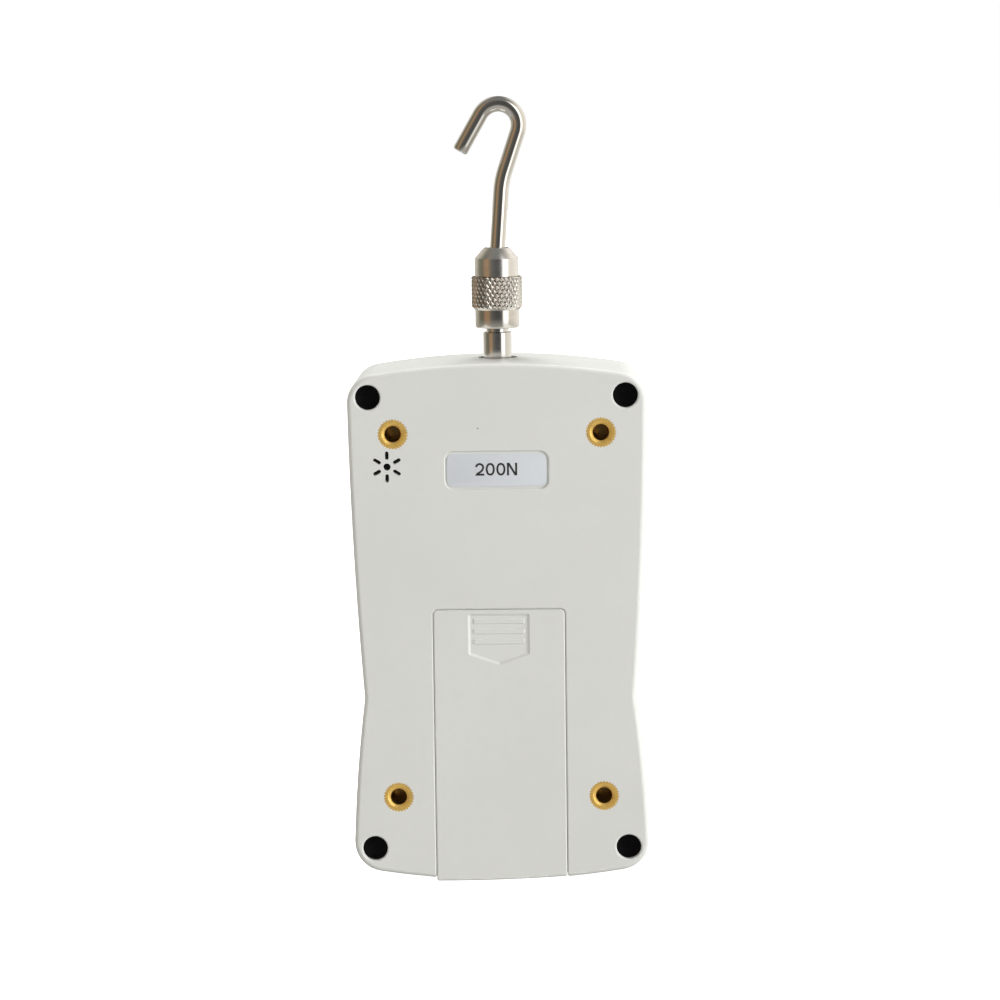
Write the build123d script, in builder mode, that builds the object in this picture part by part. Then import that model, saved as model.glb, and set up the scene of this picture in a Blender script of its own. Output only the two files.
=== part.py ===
from build123d import *
import math
import os

# Handheld digital push-pull force gauge, hook up.
# Frame: X to the right as the back is faced, Z up along the measuring axis,
# Y from the back face (Y = 0) towards the display face.
# Origin: centre of the four threaded mounting inserts, on the back face.

os.makedirs("parts", exist_ok=True)

# ---------------------------------------------------------------- dimensions
# case outline
THICK = 36.0            # back face to display face
SPLIT_Y = 5.5           # parting line between the two shells
TOP_Z = 66.1            # crest of the top edge
BOT_Z = -70.6           # crest of the bottom edge
TOP_R = 208.0           # radius of the top edge
BOT_R = 200.0           # radius of the bottom edge
TOP_HW = 38.84          # half width near the top
WAIST_HW = 35.52        # half width at the waist
BOT_HW = 39.02          # half width near the bottom
WAIST_Z = -21.6
TOP_CORNER_R = 7.5
BOT_CORNER_R = 8.0
WAIST_R = 3.5
BACK_FILLET = 1.2
FRONT_FILLET = 3.0
WALL = 2.4
BACK_WALL = 2.6
FRONT_WALL = 2.4

# mounting inserts (M5) and case screws
INSERT_DX, INSERT_DZ = 54.0, 96.0
INSERT_OD, INSERT_L, INSERT_BORE = 7.9, 8.2, 4.2
INSERT_MOUTH, INSERT_SINK = 5.9, 0.46
SCREW_DX, SCREW_DZ, SCREW_MID_Z = 66.8, 119.4, -2.07
PLUG_D, PLUG_DEEP, PLUG_L = 6.5, 1.15, 2.95

# battery door and well
DOOR_HW = 17.2
DOOR_BOT = -70.5        # flat lower end, a little proud at its corners
DOOR_TOP = 1.7
DOOR_T = 2.0
DOOR_GAP = 0.1
GRIP_DEEP = 0.36
WELL_HW = 16.2
WELL_TOP, WELL_BOT = 4.0, -65.0
WELL_FLOOR_Y = 25.3
WELL_T = 1.6

# measuring axis
AXIS_Y = 20.5
SHAFT_D = 7.5
STUD_D = 6.0
SHOULDER_Z = 72.7
NECK, NECK_D = 1.2, 5.8
COUPLER_Z0 = SHOULDER_Z + NECK
CPL_LOW_D, CPL_LOW_H = 11.5, 4.8
KNURL_D, KNURL_H = 13.4, 8.7
CPL_UP_H, CONE_H, CONE_TOP_D = 4.85, 2.7, 6.6
KNURL_Z0 = COUPLER_Z0 + CPL_LOW_H
KNURL_Z1 = KNURL_Z0 + KNURL_H
COUPLER_Z1 = KNURL_Z1 + CPL_UP_H + CONE_H
WIRE_D = 4.0
STEM_HOLE_D = 4.9       # clears the stem, which leans a little
COLLAR_D = 7.3          # runs in the cap, 7.4 mm

# load cell: a beam across the case, held at both ends, pulled at its middle
CELL_HX, CELL_Z0, CELL_Z1 = 30.0, 25.0, 38.0
CELL_SCREWS = [(x, z) for x in (-26.0, 26.0) for z in (28.0, 35.0)]
FRAME_SCREWS = [(-13, 52), (13, 52), (-26, 18), (26, 18)]
CELL_Y0, CELL_Y1 = 14.5, 26.5
FRAME_Y0, FRAME_Y1 = 10.0, 13.0

# electronics
PCB_Y0, PCB_Y1 = 28.0, 29.6
PCB_HX, PCB_Z0, PCB_Z1 = 28.4, -54.0, 53.6
PCB_POSTS = [(-25.5, 7), (25.5, 7), (-25.2, -50.5), (25.2, -50.5), (0, 50.9)]
KEY_X = (-18.0, 0.0, 18.0)
KEY_Z = (-12.0, -29.0)
KEY_W, KEY_H = 14.0, 8.4


def face_at(y):
    """Plane parallel to the back face at depth y: local x is X, local y is Z.
    A negative extrusion goes towards the display."""
    return Plane(origin=(0, y, 0), x_dir=(1, 0, 0), z_dir=(0, -1, 0))


def level(z, y=AXIS_Y):
    """Horizontal plane at height z, centred on the measuring axis."""
    return Plane(origin=(0, y, z), x_dir=(1, 0, 0), z_dir=(0, 0, 1))


# ------------------------------------------------------------- case outlines
def edge_z(x, crest, radius, sign):
    return crest - sign * (radius - math.sqrt(radius * radius - x * x))


with BuildSketch(Plane.XZ) as outline:
    with BuildLine():
        t_l = (-TOP_HW, edge_z(TOP_HW, TOP_Z, TOP_R, 1))
        t_r = (TOP_HW, t_l[1])
        b_l = (-BOT_HW, edge_z(BOT_HW, BOT_Z, BOT_R, -1))
        b_r = (BOT_HW, b_l[1])
        w_l, w_r = (-WAIST_HW, WAIST_Z), (WAIST_HW, WAIST_Z)
        ThreePointArc(t_l, (0, TOP_Z), t_r)
        ThreePointArc(t_r, (37.95, 22.0), w_r)
        ThreePointArc(w_r, (37.80, -43.0), b_r)
        ThreePointArc(b_r, (0, BOT_Z), b_l)
        ThreePointArc(b_l, (-37.80, -43.0), w_l)
        ThreePointArc(w_l, (-37.95, 22.0), t_l)
    make_face()
    fillet(outline.vertices().group_by(Axis.Y)[-1], radius=TOP_CORNER_R)
    fillet(outline.vertices().group_by(Axis.Y)[0], radius=BOT_CORNER_R)
    waist = [v for v in outline.vertices() if abs(v.Y - WAIST_Z) < 0.01]
    fillet(waist, radius=WAIST_R)


def outline_offset(amount):
    """The case outline grown outwards: each arc keeps its centre."""
    with BuildSketch(Plane.XZ) as ring:
        with BuildLine():
            for edge in outline.sketch_local.edges():
                centre, middle = edge.arc_center, edge @ 0.5
                hollow = (centre.X * middle.X > 0
                          and abs(centre.X) > abs(middle.X))
                grown = []
                for at in (0, 0.5, 1):
                    out = (edge @ at - centre).normalized()
                    grown.append(edge @ at + out * (-amount if hollow else amount))
                ThreePointArc(*grown)
        make_face()
    return ring.sketch


def slab(amount, y0, y1, mode=Mode.ADD):
    """The case outline, grown by amount, between two depths."""
    extrude(
        outline_offset(amount).moved(Location((0, y0, 0))),
        amount=y1 - y0,
        dir=(0, 1, 0),
        mode=mode,
    )


def trim(amount, y0, y1):
    """Cuts away what lies outside the grown outline between two depths."""
    extrude(
        (outline_offset(3) - outline_offset(amount)).moved(Location((0, y0, 0))),
        amount=y1 - y0,
        dir=(0, 1, 0),
        mode=Mode.SUBTRACT,
    )


# ---------------------------------------------------------------- back shell
with BuildPart() as back_shell:
    slab(0, 0, SPLIT_Y)
    fillet(back_shell.faces().sort_by(Axis.Y)[0].edges(), radius=BACK_FILLET)
    slab(-WALL, BACK_WALL, SPLIT_Y, Mode.SUBTRACT)
    # register lip that enters the front shell
    slab(-1.35, SPLIT_Y - 1.2, SPLIT_Y + 1.5)
    slab(-WALL, BACK_WALL, SPLIT_Y + 1.5, Mode.SUBTRACT)
    # bosses around the threaded inserts
    with BuildSketch(face_at(BACK_WALL - 0.5)):
        with GridLocations(INSERT_DX, INSERT_DZ, 2, 2):
            Circle(5.6)
    extrude(amount=-(FRAME_Y0 - BACK_WALL + 0.5))
    # posts of the case screws
    with BuildSketch(face_at(BACK_WALL - 0.5)):
        with Locations((0, SCREW_MID_Z)):
            with GridLocations(SCREW_DX, SCREW_DZ, 2, 2):
                Circle(4.5)
    extrude(amount=-(9.5 - BACK_WALL + 0.5))
    trim(-1.4, SPLIT_Y, SPLIT_Y + 1.5)
    trim(-2.5, SPLIT_Y + 1.5, 9.6)
    # bosses of the load cell frame
    with BuildSketch(face_at(BACK_WALL - 0.5)):
        with Locations(*FRAME_SCREWS):
            Circle(3.6)
    extrude(amount=-(FRAME_Y0 - BACK_WALL + 0.5))
    # collar around the buzzer
    with BuildSketch(face_at(BACK_WALL - 0.5)):
        with Locations((-28.6, 39.5)):
            Circle(5.6)
    extrude(amount=-(5.6 - BACK_WALL + 0.5))
    # stiffening ribs across the upper back wall
    with BuildSketch(face_at(BACK_WALL - 0.5)):
        with Locations((-19, 28), (19, 28)):
            Rectangle(1.4, 40)
        with Locations((0, 58.5)):
            Rectangle(48, 1.4)
    extrude(amount=-(6.0 - BACK_WALL + 0.5))
    # battery well
    with BuildSketch(face_at(BACK_WALL - 0.5)):
        with Locations((0, (WELL_TOP + WELL_BOT) / 2)):
            Rectangle(2 * (WELL_HW + WELL_T), WELL_TOP - WELL_BOT + 2 * WELL_T)
    extrude(amount=-(WELL_FLOOR_Y + 1.5 - BACK_WALL + 0.5))
    with BuildSketch(face_at(BACK_WALL)):
        with Locations((0, (WELL_TOP + WELL_BOT) / 2)):
            Rectangle(2 * WELL_HW, WELL_TOP - WELL_BOT)
    extrude(amount=-(WELL_FLOOR_Y - BACK_WALL), mode=Mode.SUBTRACT)
    # seat of the door, with rounded upper corners, open at the bottom
    seat_hw = DOOR_HW + DOOR_GAP
    with BuildSketch(face_at(0)):
        with BuildLine():
            Polyline(
                (-seat_hw, -80), (-seat_hw, DOOR_TOP + DOOR_GAP - 1.3),
            )
            RadiusArc((-seat_hw, DOOR_TOP + DOOR_GAP - 1.3),
                      (-seat_hw + 1.3, DOOR_TOP + DOOR_GAP), 1.3)
            Line((-seat_hw + 1.3, DOOR_TOP + DOOR_GAP),
                 (seat_hw - 1.3, DOOR_TOP + DOOR_GAP))
            RadiusArc((seat_hw - 1.3, DOOR_TOP + DOOR_GAP),
                      (seat_hw, DOOR_TOP + DOOR_GAP - 1.3), 1.3)
            Polyline((seat_hw, DOOR_TOP + DOOR_GAP - 1.3), (seat_hw, -80),
                     (-seat_hw, -80))
        make_face()
    extrude(amount=-(DOOR_T + 0.25), mode=Mode.SUBTRACT)
    # mouth of the well, and the notch in the bottom wall that the door closes
    with BuildSketch(face_at(DOOR_T)):
        with Locations((0, -32.5)):
            Rectangle(2 * WELL_HW, 67.0)
    extrude(amount=-3.2, mode=Mode.SUBTRACT)
    with BuildSketch(face_at(0)):
        with Locations((0, -73.3)):
            Rectangle(2 * seat_hw, 12.6)
    extrude(amount=-7.5, mode=Mode.SUBTRACT)
    with BuildSketch(face_at(0)):
        with Locations((0, -66.2)):
            Rectangle(2 * WELL_HW, 6.0)
    extrude(amount=-5.2, mode=Mode.SUBTRACT)
    # grooves that the door's rails run in
    with BuildSketch(face_at(3.3)):
        for side in (-1, 1):
            with Locations((side * (WELL_HW + 0.45), -39.0)):
                Rectangle(0.9, 62.0)
    extrude(amount=-1.5, mode=Mode.SUBTRACT)
    # cut-out for the battery socket
    with BuildSketch(face_at(WELL_FLOOR_Y - 0.5)):
        with Locations((9.0, -9.0)):
            Rectangle(8.8, 6.4)
    extrude(amount=-3.0, mode=Mode.SUBTRACT)
    # bores: inserts, case screws with their counterbores, frame screws
    with BuildSketch(face_at(0)):
        with GridLocations(INSERT_DX, INSERT_DZ, 2, 2):
            Circle(INSERT_OD / 2)
    extrude(amount=-(INSERT_L), mode=Mode.SUBTRACT)
    with BuildSketch(face_at(0)):
        with GridLocations(INSERT_DX, INSERT_DZ, 2, 2):
            Circle(2.6)
    extrude(amount=-FRAME_Y0, mode=Mode.SUBTRACT)
    with BuildSketch(face_at(0)):
        with Locations((0, SCREW_MID_Z)):
            with GridLocations(SCREW_DX, SCREW_DZ, 2, 2):
                Circle(PLUG_D / 2)
    extrude(amount=-7.0, mode=Mode.SUBTRACT)
    with BuildSketch(face_at(0)):
        with Locations((0, SCREW_MID_Z)):
            with GridLocations(SCREW_DX, SCREW_DZ, 2, 2):
                Circle(1.65)
    extrude(amount=-9.5, mode=Mode.SUBTRACT)
    with BuildSketch(face_at(3.4)):
        with Locations(*FRAME_SCREWS):
            Circle(1.5)
    extrude(amount=-(FRAME_Y0 - 3.4), mode=Mode.SUBTRACT)
    # sound holes and the pocket of the buzzer
    with BuildSketch(face_at(0)):
        with Locations((-28.6, 39.5)):
            Circle(0.95)
            with PolarLocations(2.97, 6, start_angle=90):
                SlotOverall(2.2, 0.95)
    extrude(amount=-BACK_WALL, mode=Mode.SUBTRACT)
    with BuildSketch(face_at(BACK_WALL - 0.4)):
        with Locations((-28.6, 39.5)):
            Circle(4.45)
    extrude(amount=-6.0, mode=Mode.SUBTRACT)
    # shallow seat of the capacity label
    with BuildSketch(face_at(0)):
        with Locations((-0.1, 38.4)):
            RectangleRounded(26.8, 9.8, 2.3)
    extrude(amount=-0.5, mode=Mode.SUBTRACT)
    # softened mouths: screw holes, label seat
    mouths = [
        e for e in back_shell.faces().sort_by(Axis.Y)[0].edges()
        if e.geom_type == GeomType.CIRCLE and abs(e.radius - PLUG_D / 2) < 0.01
    ]
    fillet(mouths, radius=0.45)
    seat_edges = [
        e for e in back_shell.edges()
        if abs(e.center().Y) < 1e-4 and abs(e.center().Z - 38.4) < 5.05
        and abs(e.center().X) < 13.6
    ]
    fillet(seat_edges, radius=0.35)
    # chamfer of the door groove
    groove = [
        e for e in back_shell.edges()
        if abs(e.center().Y) < 1e-4 and abs(abs(e.center().X) - seat_hw) < 0.6
        and e.center().Z < 2.0
    ] + [
        e for e in back_shell.edges()
        if abs(e.center().Y) < 1e-4
        and abs(e.center().Z - (DOOR_TOP + DOOR_GAP)) < 0.05
    ]
    chamfer(groove, length=0.33)
back_shell.part.label = "back_shell"

# --------------------------------------------------------------- front shell
SHAFT_HOLE_D = 10.3
with BuildPart() as front_shell:
    slab(0, SPLIT_Y, THICK)
    fillet(front_shell.faces().sort_by(Axis.Y)[-1].edges(), radius=FRONT_FILLET)
    slab(-WALL, SPLIT_Y, THICK - FRONT_WALL, Mode.SUBTRACT)
    slab(-1.3, SPLIT_Y, SPLIT_Y + 1.6, Mode.SUBTRACT)
    # posts that take the case screws
    with BuildSketch(face_at(9.5)):
        with Locations((0, SCREW_MID_Z)):
            with GridLocations(SCREW_DX, SCREW_DZ, 2, 2):
                Circle(4.4)
    extrude(amount=-(THICK - FRONT_WALL - 9.5 + 0.5))
    # posts that take the circuit board
    with BuildSketch(face_at(PCB_Y1)):
        with Locations(*PCB_POSTS):
            Circle(2.6)
    extrude(amount=-(THICK - FRONT_WALL - PCB_Y1 + 0.5))
    # keep the posts inside the outer skin
    slab(0, SPLIT_Y, THICK, Mode.INTERSECT)
    with BuildSketch(face_at(9.5)):
        with Locations((0, SCREW_MID_Z)):
            with GridLocations(SCREW_DX, SCREW_DZ, 2, 2):
                Circle(2.3)
    extrude(amount=-6.0, mode=Mode.SUBTRACT)
    with BuildSketch(face_at(9.5)):
        with Locations((0, SCREW_MID_Z)):
            with GridLocations(SCREW_DX, SCREW_DZ, 2, 2):
                Circle(1.7)
    extrude(amount=-13.0, mode=Mode.SUBTRACT)
    with BuildSketch(face_at(PCB_Y1)):
        with Locations(*PCB_POSTS):
            Circle(1.25)
    extrude(amount=-3.6, mode=Mode.SUBTRACT)
    # hole of the measuring shaft in the top wall
    with BuildSketch(level(50)):
        Circle(SHAFT_HOLE_D / 2)
    extrude(amount=25, mode=Mode.SUBTRACT)
    # display window: seat and opening
    with BuildSketch(face_at(THICK - 1.6)):
        with Locations((0, 31.0)):
            RectangleRounded(56.4, 36.4, 3.2)
    extrude(amount=-3.0, mode=Mode.SUBTRACT)
    with BuildSketch(face_at(THICK - 4.0)):
        with Locations((0, 31.0)):
            RectangleRounded(50.0, 30.0, 1.5)
    extrude(amount=-5.0, mode=Mode.SUBTRACT)
    # keypad: shallow seat of its overlay, and the key openings
    with BuildSketch(face_at(THICK - 0.5)):
        with Locations((0, -20.5)):
            RectangleRounded(58.4, 37.4, 4.2)
    extrude(amount=-2.0, mode=Mode.SUBTRACT)
    with BuildSketch(face_at(THICK - 4.0)):
        with Locations([(x, z) for x in KEY_X for z in KEY_Z]):
            RectangleRounded(KEY_W + 0.6, KEY_H + 0.6, 2.3)
    extrude(amount=-5.0, mode=Mode.SUBTRACT)
    # right side wall: charger jack and data port
    with BuildSketch(Plane(origin=(30, 23.75, -40.5), x_dir=(0, 1, 0), z_dir=(1, 0, 0))):
        Circle(3.9)
    extrude(amount=12, mode=Mode.SUBTRACT)
    with BuildSketch(Plane(origin=(30, 25.9, -26.0), x_dir=(0, 1, 0), z_dir=(1, 0, 0))):
        RectangleRounded(4.9, 9.0, 1.2)
    extrude(amount=12, mode=Mode.SUBTRACT)
front_shell.part.label = "front_shell"

# -------------------------------------------------------------- battery door
with BuildPart() as battery_door:
    # the plate carries the case's back edge on, round its lower end
    with BuildSketch(face_at(0)):
        with BuildLine():
            ThreePointArc((-40, DOOR_BOT + 0.42), (-4, DOOR_BOT - 0.13), (40, DOOR_BOT + 2.9))
            Polyline((40, DOOR_BOT + 2.9), (40, 40), (-40, 40), (-40, DOOR_BOT + 0.42))
        make_face()
    extrude(amount=-(SPLIT_Y - 0.15))
    fillet(battery_door.faces().sort_by(Axis.Y)[0].edges().sort_by(Axis.Z)[0],
           radius=0.8)
    with BuildSketch(face_at(0)):
        with BuildLine():
            Line((-DOOR_HW, -80), (-DOOR_HW, DOOR_TOP - 1.1))
            RadiusArc((-DOOR_HW, DOOR_TOP - 1.1), (-DOOR_HW + 1.1, DOOR_TOP), 1.1)
            Line((-DOOR_HW + 1.1, DOOR_TOP), (DOOR_HW - 1.1, DOOR_TOP))
            RadiusArc((DOOR_HW - 1.1, DOOR_TOP), (DOOR_HW, DOOR_TOP - 1.1), 1.1)
            Polyline((DOOR_HW, DOOR_TOP - 1.1), (DOOR_HW, -80), (-DOOR_HW, -80))
        make_face()
    extrude(amount=-SPLIT_Y, mode=Mode.INTERSECT)
    # thin it to a plate, leaving the end wall at the bottom
    with BuildSketch(face_at(DOOR_T)):
        with Locations((0, -28.4)):
            Rectangle(2 * DOOR_HW + 2, 80.0)
    extrude(amount=-SPLIT_Y, mode=Mode.SUBTRACT)
    # rails with tongues, pad behind the thumb grip, and the top tab
    with BuildSketch(face_at(DOOR_T)):
        for side in (-1, 1):
            with Locations((side * 15.55, -35.0)):
                Rectangle(0.8, 66.0)
        with Locations((0, -6.95)):
            Rectangle(21.0, 15.5)
    extrude(amount=-1.2)
    with BuildSketch(face_at(DOOR_T)):
        with Locations((0, -24.0), (0, -40.0), (0, -55.0)):
            Rectangle(31.0, 1.0)
    extrude(amount=-0.85)
    with BuildSketch(face_at(DOOR_T)):
        for side in (-1, 1):
            with Locations((side * 15.55, -35.0)):
                Rectangle(0.8, 66.0)
    extrude(amount=-2.6)
    with BuildSketch(face_at(3.5)):
        for side in (-1, 1):
            with Locations(*[(side * 16.2, z) for z in (-15.0, -37.0, -59.0)]):
                Rectangle(1.3, 8.0)
    extrude(amount=-1.1)
    with BuildSketch(face_at(2.85)):
        with Locations((0, 1.0)):
            Rectangle(12.0, 5.0)
    extrude(amount=-1.0)
    with BuildSketch(face_at(DOOR_T)):
        with Locations((0, -0.3)):
            Rectangle(12.0, 2.4)
    extrude(amount=-1.85)
    # V groove: the door's share of the chamfer
    rim = [
        e for e in battery_door.edges()
        if abs(e.center().Y) < 1e-4
        and (abs(abs(e.center().X) - DOOR_HW) < 0.6 or abs(e.center().Z - DOOR_TOP) < 0.05)
        and e.center().Z > -69.0
    ]
    chamfer(rim, length=0.33)
    # thumb grip: shallow arrow-shaped recess with sloping walls and three low ribs
    with BuildSketch(face_at(0)):
        with BuildLine():
            Polyline((-8.15, 0.68), (8.0, 0.68), (8.0, -10.15), (0, -12.95),
                     (-8.15, -10.15), close=True)
        make_face()
        fillet([v for v in vertices() if abs(v.X) > 5], radius=0.8)
    extrude(amount=-GRIP_DEEP, taper=60, mode=Mode.SUBTRACT)
    with BuildSketch(face_at(GRIP_DEEP)):
        with Locations((-0.05, -1.35), (-0.05, -4.05), (-0.05, -6.75)):
            RectangleRounded(13.4, 1.5, 0.35)
    extrude(amount=0.2, taper=40)
    crests = [e for e in battery_door.edges()
              if abs(e.center().Y - GRIP_DEEP + 0.2) < 1e-3 and abs(e.center().X) < 7.2
              and -8.0 < e.center().Z < 0.0]
    fillet(crests, radius=0.12)
battery_door.part.label = "battery_door"

# ------------------------------------------------- mounting inserts, fasteners
with BuildPart() as threaded_inserts:
    teeth = 30
    star = []
    for i in range(2 * teeth):
        r = INSERT_OD / 2 if i % 2 == 0 else INSERT_OD / 2 - 0.28
        a = math.pi * i / teeth
        star.append((r * math.cos(a), r * math.sin(a)))
    with BuildSketch(face_at(0)):
        with GridLocations(INSERT_DX, INSERT_DZ, 2, 2):
            Polygon(*star, align=None)
    extrude(amount=-INSERT_L)
    # plain waist between the two knurled bands
    with BuildSketch(face_at(3.7)):
        with GridLocations(INSERT_DX, INSERT_DZ, 2, 2):
            Circle(INSERT_OD / 2 + 0.5)
            Circle(INSERT_OD / 2 - 0.45, mode=Mode.SUBTRACT)
    extrude(amount=-0.9, mode=Mode.SUBTRACT)
    with BuildSketch(face_at(0)):
        with GridLocations(INSERT_DX, INSERT_DZ, 2, 2):
            Circle(INSERT_BORE / 2)
    extrude(amount=-INSERT_L, mode=Mode.SUBTRACT)
    # wide shallow countersink at each mouth
    with Locations(face_at(0)):
        with GridLocations(INSERT_DX, INSERT_DZ, 2, 2):
            Cone(INSERT_BORE / 2, INSERT_MOUTH / 2, INSERT_SINK,
                 align=(Align.CENTER, Align.CENTER, Align.MAX), mode=Mode.SUBTRACT)
threaded_inserts.part.label = "threaded_inserts"

with BuildPart() as case_screws:
    with BuildSketch(face_at(4.4)):
        with Locations((0, SCREW_MID_Z)):
            with GridLocations(SCREW_DX, SCREW_DZ, 2, 2):
                Circle(2.8)
    extrude(amount=-2.6)
    fillet(case_screws.faces().group_by(Axis.Y)[0].edges(), radius=0.9)
    with BuildSketch(face_at(7.0)):
        with Locations((0, SCREW_MID_Z)):
            with GridLocations(SCREW_DX, SCREW_DZ, 2, 2):
                Circle(1.48)
    extrude(amount=-14.0)
    with BuildSketch(face_at(4.4)):
        with Locations((0, SCREW_MID_Z)):
            with GridLocations(SCREW_DX, SCREW_DZ, 2, 2):
                Rectangle(3.0, 0.75)
                Rectangle(0.75, 3.0)
    extrude(amount=-1.5, mode=Mode.SUBTRACT)
case_screws.part.label = "case_screws"

with BuildPart() as screw_plugs:
    with BuildSketch(face_at(PLUG_DEEP)):
        with Locations((0, SCREW_MID_Z)):
            with GridLocations(SCREW_DX, SCREW_DZ, 2, 2):
                Circle(PLUG_D / 2)
    extrude(amount=-PLUG_L)
    fillet(screw_plugs.faces().group_by(Axis.Y)[0].edges(), radius=0.35)
    with BuildSketch(face_at(PLUG_DEEP + PLUG_L - 1.2)):
        with Locations((0, SCREW_MID_Z)):
            with GridLocations(SCREW_DX, SCREW_DZ, 2, 2):
                Circle(2.1)
    extrude(amount=-1.2, mode=Mode.SUBTRACT)
screw_plugs.part.label = "screw_plugs"

with BuildPart() as shell_inserts:
    with BuildSketch(face_at(9.5)):
        with Locations((0, SCREW_MID_Z)):
            with GridLocations(SCREW_DX, SCREW_DZ, 2, 2):
                Circle(2.3)
                Circle(1.5, mode=Mode.SUBTRACT)
    extrude(amount=-6.0)
shell_inserts.part.label = "shell_inserts"

with BuildPart() as capacity_label:
    with BuildSketch(face_at(0.28)):
        with Locations((-0.1, 38.4)):
            RectangleRounded(26.0, 8.7, 1.9)
    extrude(amount=-0.22)
capacity_label.part.label = "capacity_label"

# ------------------------------------------------------- display and keypad
with BuildPart() as lcd_window:
    with BuildSketch(face_at(THICK - 1.6)):
        with Locations((0, 31.0)):
            RectangleRounded(56.0, 36.0, 3.0)
    extrude(amount=-1.5)
    chamfer(lcd_window.faces().sort_by(Axis.Y)[-1].edges(), length=0.25)
lcd_window.part.label = "lcd_window"

with BuildPart() as lcd_module:
    with BuildSketch(face_at(29.9)):
        with Locations((0, 31.0)):
            RectangleRounded(50.8, 32.0, 0.6)
    extrude(amount=-3.3)
lcd_module.part.label = "lcd_module"

with BuildPart() as lcd_frame:
    with BuildSketch(face_at(PCB_Y1)):
        with Locations((0, 31.0)):
            RectangleRounded(53.2, 34.6, 1.4)
            RectangleRounded(51.2, 32.4, 0.8, mode=Mode.SUBTRACT)
    extrude(amount=-3.8)
lcd_frame.part.label = "lcd_frame"

with BuildPart() as keypad_overlay:
    with BuildSketch(face_at(THICK - 0.5)):
        with Locations((0, -20.5)):
            RectangleRounded(58.0, 37.0, 4.0)
        with Locations([(x, z) for x in KEY_X for z in KEY_Z]):
            RectangleRounded(KEY_W + 0.6, KEY_H + 0.6, 2.3, mode=Mode.SUBTRACT)
    extrude(amount=-0.5)
keypad_overlay.part.label = "keypad_overlay"

KEYS = {
    "key_power": (KEY_X[0], KEY_Z[0]),
    "key_zero": (KEY_X[1], KEY_Z[0]),
    "key_peak": (KEY_X[2], KEY_Z[0]),
    "key_unit": (KEY_X[0], KEY_Z[1]),
    "key_set": (KEY_X[1], KEY_Z[1]),
    "key_send": (KEY_X[2], KEY_Z[1]),
}
key_parts = {}
for key_name, key_at in KEYS.items():
    with BuildPart() as key:
        # cap with a crowned rim
        with BuildSketch(face_at(32.4)):
            with Locations(key_at):
                RectangleRounded(KEY_W, KEY_H, 2.0)
        extrude(amount=-4.5)
        fillet(key.faces().sort_by(Axis.Y)[-1].edges(), radius=0.6)
        # retaining flange behind the front wall
        with BuildSketch(face_at(32.4)):
            with Locations(key_at):
                RectangleRounded(KEY_W + 2.2, KEY_H + 2.2, 2.6)
        extrude(amount=-0.9)
        # stem over the switch
        with BuildSketch(face_at(30.6)):
            with Locations(key_at):
                Circle(1.6)
        extrude(amount=-1.9)
    key.part.label = key_name
    key_parts[key_name] = key.part

with BuildPart() as key_switches:
    with BuildSketch(face_at(PCB_Y1)):
        with Locations([(x, z) for x in KEY_X for z in KEY_Z]):
            RectangleRounded(6.2, 6.2, 0.5)
    extrude(amount=-1.8)
    with BuildSketch(face_at(29.85)):
        with Locations([(x, z) for x in KEY_X for z in KEY_Z]):
            Circle(2.0)
    extrude(amount=-2.0, mode=Mode.SUBTRACT)
key_switches.part.label = "key_switches"

# --------------------------------------------------------------- electronics
with BuildPart() as main_pcb:
    with BuildSketch(face_at(PCB_Y0)):
        with Locations((0, (PCB_Z0 + PCB_Z1) / 2)):
            RectangleRounded(2 * PCB_HX, PCB_Z1 - PCB_Z0, 2.0)
        with Locations(*PCB_POSTS):
            Circle(1.35, mode=Mode.SUBTRACT)
    extrude(amount=-(PCB_Y1 - PCB_Y0))
main_pcb.part.label = "main_pcb"

with BuildPart() as pcb_screws:
    with BuildSketch(face_at(PCB_Y0 - 1.6)):
        with Locations(*PCB_POSTS):
            Circle(2.3)
    extrude(amount=-1.6)
    fillet(pcb_screws.faces().group_by(Axis.Y)[0].edges(), radius=0.6)
    with BuildSketch(face_at(PCB_Y0)):
        with Locations(*PCB_POSTS):
            Circle(1.2)
    extrude(amount=-5.0)
    with BuildSketch(face_at(PCB_Y0 - 1.6)):
        with Locations(*PCB_POSTS):
            Rectangle(2.4, 0.6)
            Rectangle(0.6, 2.4)
    extrude(amount=-1.0, mode=Mode.SUBTRACT)
pcb_screws.part.label = "pcb_screws"

with BuildPart() as microcontroller:
    with BuildSketch(face_at(26.5)):
        with Locations((-12.0, 14.0)):
            Rectangle(10.0, 10.0)
    extrude(amount=-1.5)
    chamfer(microcontroller.faces().sort_by(Axis.Y)[0].edges(), length=0.3)
microcontroller.part.label = "microcontroller"

with BuildPart() as amplifier_shield:
    with BuildSketch(face_at(25.2)):
        with Locations((15.5, 46.0)):
            RectangleRounded(15.0, 9.0, 0.8)
    extrude(amount=-2.8)
    fillet(amplifier_shield.faces().sort_by(Axis.Y)[0].edges(), radius=0.4)
amplifier_shield.part.label = "amplifier_shield"

with BuildPart() as signal_connector:
    with BuildSketch(face_at(25.2)):
        with Locations((-21.0, 44.5)):
            Rectangle(7.0, 4.4)
    extrude(amount=-2.8)
signal_connector.part.label = "signal_connector"

with BuildPart() as buzzer:
    with BuildSketch(face_at(BACK_WALL - 0.4)):
        with Locations((-28.6, 39.5)):
            Circle(4.35)
    extrude(amount=-4.5)
    with BuildSketch(face_at(BACK_WALL - 0.4)):
        with Locations((-28.6, 39.5)):
            Circle(1.1)
    extrude(amount=-1.2, mode=Mode.SUBTRACT)
buzzer.part.label = "buzzer"

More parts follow.
